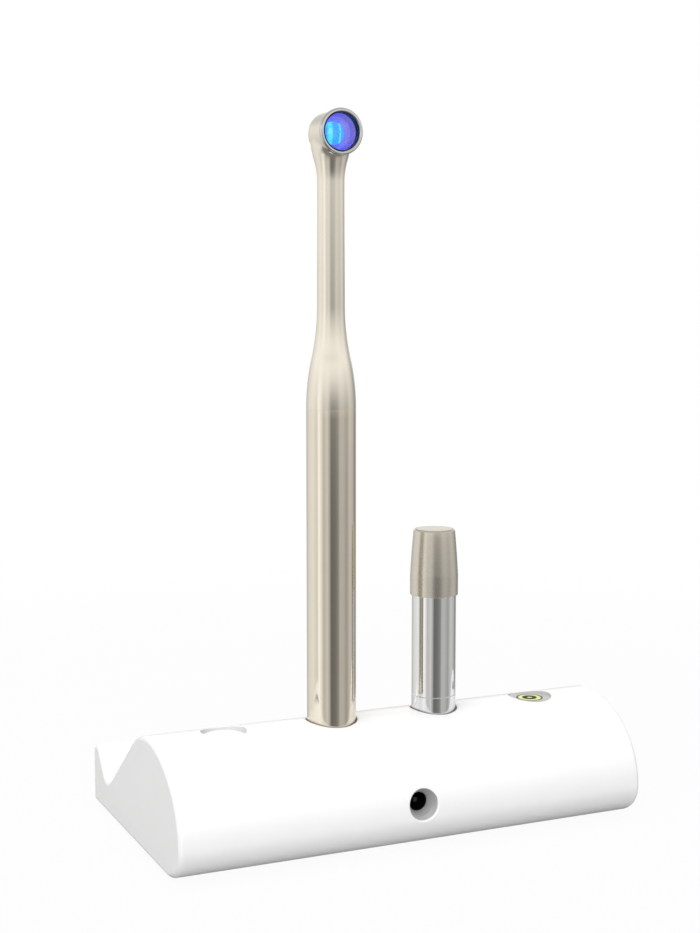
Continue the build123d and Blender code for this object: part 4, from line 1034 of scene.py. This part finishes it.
# The same plating over a finer blasted surface, so its reflections are softer than the barrel's
soft_champagne = mottled("soft_champagne_nickel", 10 * mm, "#ECE6DA", "#E6E0D2", 3.0, metallic=1.0,
                         shine=(0.16, 0.22))
fit(head_shell, soft_champagne, "handpiece", "head_shell")


# Head optics. A bright nickel bezel holds a black liner and a domed lens, and behind them a violet
# coated reflector rings a clear blue dome over the light chips, on a small board and heat sink.
liner_low, liner_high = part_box("lens_liner")
dome_low, dome_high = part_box("inner_lens")
mirror_low, mirror_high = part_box("reflector")
liner_bore = 5.4 * mm
head_axis_at = (head_centre.x, hand_at[1], head_centre.z)


def front(y):
    """Distance of one level in front of the neck's axis."""
    return hand_at[1] - y


def on_head(name, corners, sides=160):
    """Piece turned about the head's axis from (radius, distance to the front, rounding)."""
    piece = turned(name, corners, head_axis_at, (0, -1, 0), sides, step=6.0)
    even_normals(piece)
    return piece


bezel_radius = (bezel_high.x - bezel_low.x) / 2
bezel_bore = (liner_high.x - liner_low.x) / 2
bevel = 0.3 * mm
bezel_back, bezel_front = front(bezel_high.y), front(bezel_low.y)
bezel = on_head("polished_bezel", [(bezel_bore, bezel_back), (bezel_bore, bezel_front - bevel),
                                   (bezel_bore + bevel, bezel_front, 0.08 * mm),
                                   (bezel_radius, bezel_front, 0.5 * mm),
                                   (bezel_radius, bezel_back, 0.12 * mm)])

# Satin chrome: a cooler, greyer metal than the barrel's, with fine turning marks round it
satin_chrome = mottled("satin_chrome", 0.3 * mm, "#C6C8C8", "#D2D3D2", metallic=1.0, shine=(0.07, 0.14))
fit(bezel, satin_chrome, "handpiece", "lens_bezel")

# Black anodised tube, fine-turned, so a soft sheen runs round it: it reaches down to the lens's edge
lens_edge = 0.45 * mm
lens_back = front(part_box("lens")[1].y)
lens_face = lens_back + lens_edge
liner_back, liner_front = front(liner_high.y), front(liner_low.y)
liner = on_head("black_liner", [(liner_bore, lens_face), (liner_bore, liner_front, 0.08 * mm),
                                (bezel_bore, liner_front, 0.05 * mm), (bezel_bore, liner_back),
                                (head_bore, liner_back), (head_bore, lens_face)])
black_anodised = mottled("black_anodised_aluminium", 0.15 * mm, "#0B0B1A", "#151528", roughness=0.34,
                         metallic=0.4)
fit(liner, black_anodised, "handpiece", "lens_liner")

# Coated glass: clear, with a faint violet tint that is a little uneven
lens_hollow = 0.5 * mm
lens_rise = 0.6 * mm
lens_front = bend((0, lens_face + lens_rise), (liner_bore, lens_face), (1, 0), 14)
lens_inside = bend((0, lens_back + lens_hollow), (liner_bore, lens_back), (1, 0), 14)
lens = on_head("domed_lens", [(0, lens_back + lens_hollow), (0, lens_face + lens_rise), *lens_front,
                              (head_bore, lens_face), (head_bore, lens_back), *reversed(lens_inside)])
coated_glass = mottled("violet_coated_glass", 3 * mm, "#DCD8F8", "#D2D0F6", roughness=0.02,
                       more={"Transmission Weight": 1.0, "IOR": 1.46})
fit(lens, coated_glass, "handpiece", "lens")

dome_gap = 0.15 * mm
dome_radius = (dome_high.x - dome_low.x) / 2
throat = 3.3 * mm
throat_depth = 0.5 * mm
mirror_back, mirror_front = front(mirror_high.y), front(mirror_low.y) - 0.01 * mm
mirror = on_head("coated_reflector", [(dome_radius + dome_gap, mirror_back),
                                      (dome_radius + dome_gap, mirror_back + throat_depth),
                                      (throat, mirror_back + throat_depth), (liner_bore, mirror_front),
                                      (head_bore, mirror_front), (head_bore, mirror_back)])
# Dichroic coating on a dull metal: lilac face on and bluer at a slant, with a painted glow of the same
# colour
violet_mirror_painted_glow, tree, surface, place = new_material("violet_coated_reflector_painted_glow")
cloud = add_node(tree, "ShaderNodeTexNoise", {"Vector": place, "Scale": 1 / (2 * mm), "Detail": 2.0})
turn = add_node(tree, "ShaderNodeLayerWeight", {"Blend": 0.5})
drift = add_node(tree, "ShaderNodeMath", {0: turn.outputs["Facing"], 1: cloud.outputs["Fac"]})
hue = add_node(tree, "ShaderNodeMapRange", {"Value": drift.outputs[0], "From Min": 0.5, "From Max": 1.4})
shade = add_node(tree, "ShaderNodeMix", {"Factor": hue.outputs["Result"], "A": linear("#AA9AC6"),
                                         "B": linear("#6264E6")}, data_type="RGBA")
tree.links.new(shade.outputs["Result"], surface["Base Color"])
# Painted glow: the reflector emits its own colour, though no lamp is in the head
tree.links.new(shade.outputs["Result"], surface["Emission Color"])
surface["Metallic"].default_value = 0.5
surface["Roughness"].default_value = 0.42
surface["Emission Strength"].default_value = 0.5
fit(mirror, violet_mirror_painted_glow, "handpiece", "reflector")

dome_edge = 0.4 * mm
chip_hollow = 2.5 * mm
chip_room = 0.55 * mm
dome_back, dome_front = front(dome_high.y), front(dome_low.y)
dome_face = bend((0, dome_front), (throat - 0.1 * mm, dome_back + dome_edge), (1, 0), 12)
dome_face.append((dome_radius, dome_back + dome_edge))
dome = on_head("blue_dome", [(0, dome_back + chip_room), (0, dome_front), *dome_face,
                             (dome_radius, dome_back), (chip_hollow, dome_back),
                             (chip_hollow, dome_back + chip_room)], sides=96)
blue_silicone_painted_glow, tree, surface, place = new_material("clear_blue_silicone_painted_glow")
# Two upright streaks of brighter cyan, a broad one and a narrow one, lie over the two columns of chips below
# it
across = add_node(tree, "ShaderNodeSeparateXYZ", {0: place}).outputs["X"]
streaks = []
for middle, half_width in ((-1.3 * mm, 1.1 * mm), (1.9 * mm, 0.5 * mm)):
    off = add_node(tree, "ShaderNodeMath", {0: across, 1: head_centre.x + middle}, operation="SUBTRACT")
    away = add_node(tree, "ShaderNodeMath", {0: off.outputs[0]}, operation="ABSOLUTE")
    streaks.append(add_node(tree, "ShaderNodeMapRange", {"Value": away.outputs[0], "From Min": half_width,
                                                         "From Max": 0.3 * half_width},
                            interpolation_type="SMOOTHSTEP").outputs["Result"])
streak = add_node(tree, "ShaderNodeMath", {0: streaks[0], 1: streaks[1]}, operation="MAXIMUM")
shade = add_node(tree, "ShaderNodeMix", {"Factor": streak.outputs[0], "A": linear("#2AB4F2"),
                                         "B": linear("#46F8FF")}, data_type="RGBA")
tree.links.new(shade.outputs["Result"], surface["Base Color"])
# Painted glow: the dome emits its own colour, brightest in the streaks, though the chips under it give no
# light
tree.links.new(shade.outputs["Result"], surface["Emission Color"])
surface["Emission Strength"].default_value = 0.95
surface["Roughness"].default_value = 0.06
surface["Coat Weight"].default_value = 0.6
fit(dome, blue_silicone_painted_glow, "handpiece", "inner_lens")

# Machined copper: a warm bare metal with a soft sheen
bare_copper = mottled("machined_copper", 0.3 * mm, "#C9805A", "#DB9A74", 3.0, roughness=0.3, metallic=1.0)
dress(bare_copper, "heat_sink")

# Light dies: pale blue and glossy, with facets about 0.4 mm across
die_phosphor, tree, surface, place = new_material("blue_light_die")
facets = add_node(tree, "ShaderNodeTexVoronoi", {"Vector": place, "Scale": 1 / (0.4 * mm)})
shade = add_node(tree, "ShaderNodeMix", {"Factor": facets.outputs["Distance"], "A": linear("#C8DCF4"),
                                         "B": linear("#7FA8E8")}, data_type="RGBA")
tree.links.new(shade.outputs["Result"], surface["Base Color"])
surface["Roughness"].default_value = 0.15
dress(die_phosphor, "light_chips")

# White solder mask: a clean, slightly glossy white
white_mask = mottled("white_solder_mask", 0.5 * mm, "#F0F0EC", "#E4E5E2", roughness=0.35)
dress(white_mask, "light_board")

# Silicone sleeving: a soft, even red
red_sleeve = mottled("red_silicone_sleeve", 0.8 * mm, "#B3231C", "#C6332B", roughness=0.4)
dress(red_sleeve, "light_leads")


# Buttons at the back of the barrel. Each is a machined stainless key whose face follows the tube,
# with a flange behind the wall that keeps it in and a stem down to its switch.
key_proud = 0.15 * mm
key_edge = 0.25 * mm
flange_thickness = 0.6 * mm
flange_gap = 0.01 * mm
key_stem = 1.2 * mm
key_sides = 72
# Satin stainless: a warm grey metal, spun fine, with blurred reflections
satin_key = mottled("satin_stainless_key", 0.25 * mm, "#CFCBC3", "#DAD7D0", 3.0, metallic=1.0,
                    shine=(0.2, 0.34))
for key, (height, key_radius) in buttons.items():
    low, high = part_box(f"{key}_button")
    flange = hand_at[1] + math.sqrt(barrel_bore ** 2 - (key_radius + flange_width) ** 2) - flange_gap
    rows = [(key_stem, low.y), (key_stem, flange - flange_thickness),
            (key_radius + flange_width, flange - flange_thickness), (key_radius + flange_width, flange),
            (key_radius, flange)]
    rows += [(key_radius - key_edge * (1 - math.cos(math.radians(a))),
              -key_edge * (1 - math.sin(math.radians(a)))) for a in range(0, 91, 15)]
    rows += [((key_radius - key_edge) * k / 12, 0) for k in range(11, 0, -1)]
    # Levels of zero and below are depths under the key's curved face
    rings = [[(hand_at[0] + x, level if level > 0 else
               hand_at[1] + math.sqrt((barrel_radius + key_proud) ** 2 - x ** 2) + level, height + z)
              for x, z in circle(r, key_sides)] for r, level in rows]
    button = join_rings(f"{key}_key", rings)
    even_normals(button)
    fit(button, satin_key, f"{key}_key", f"{key}_button")
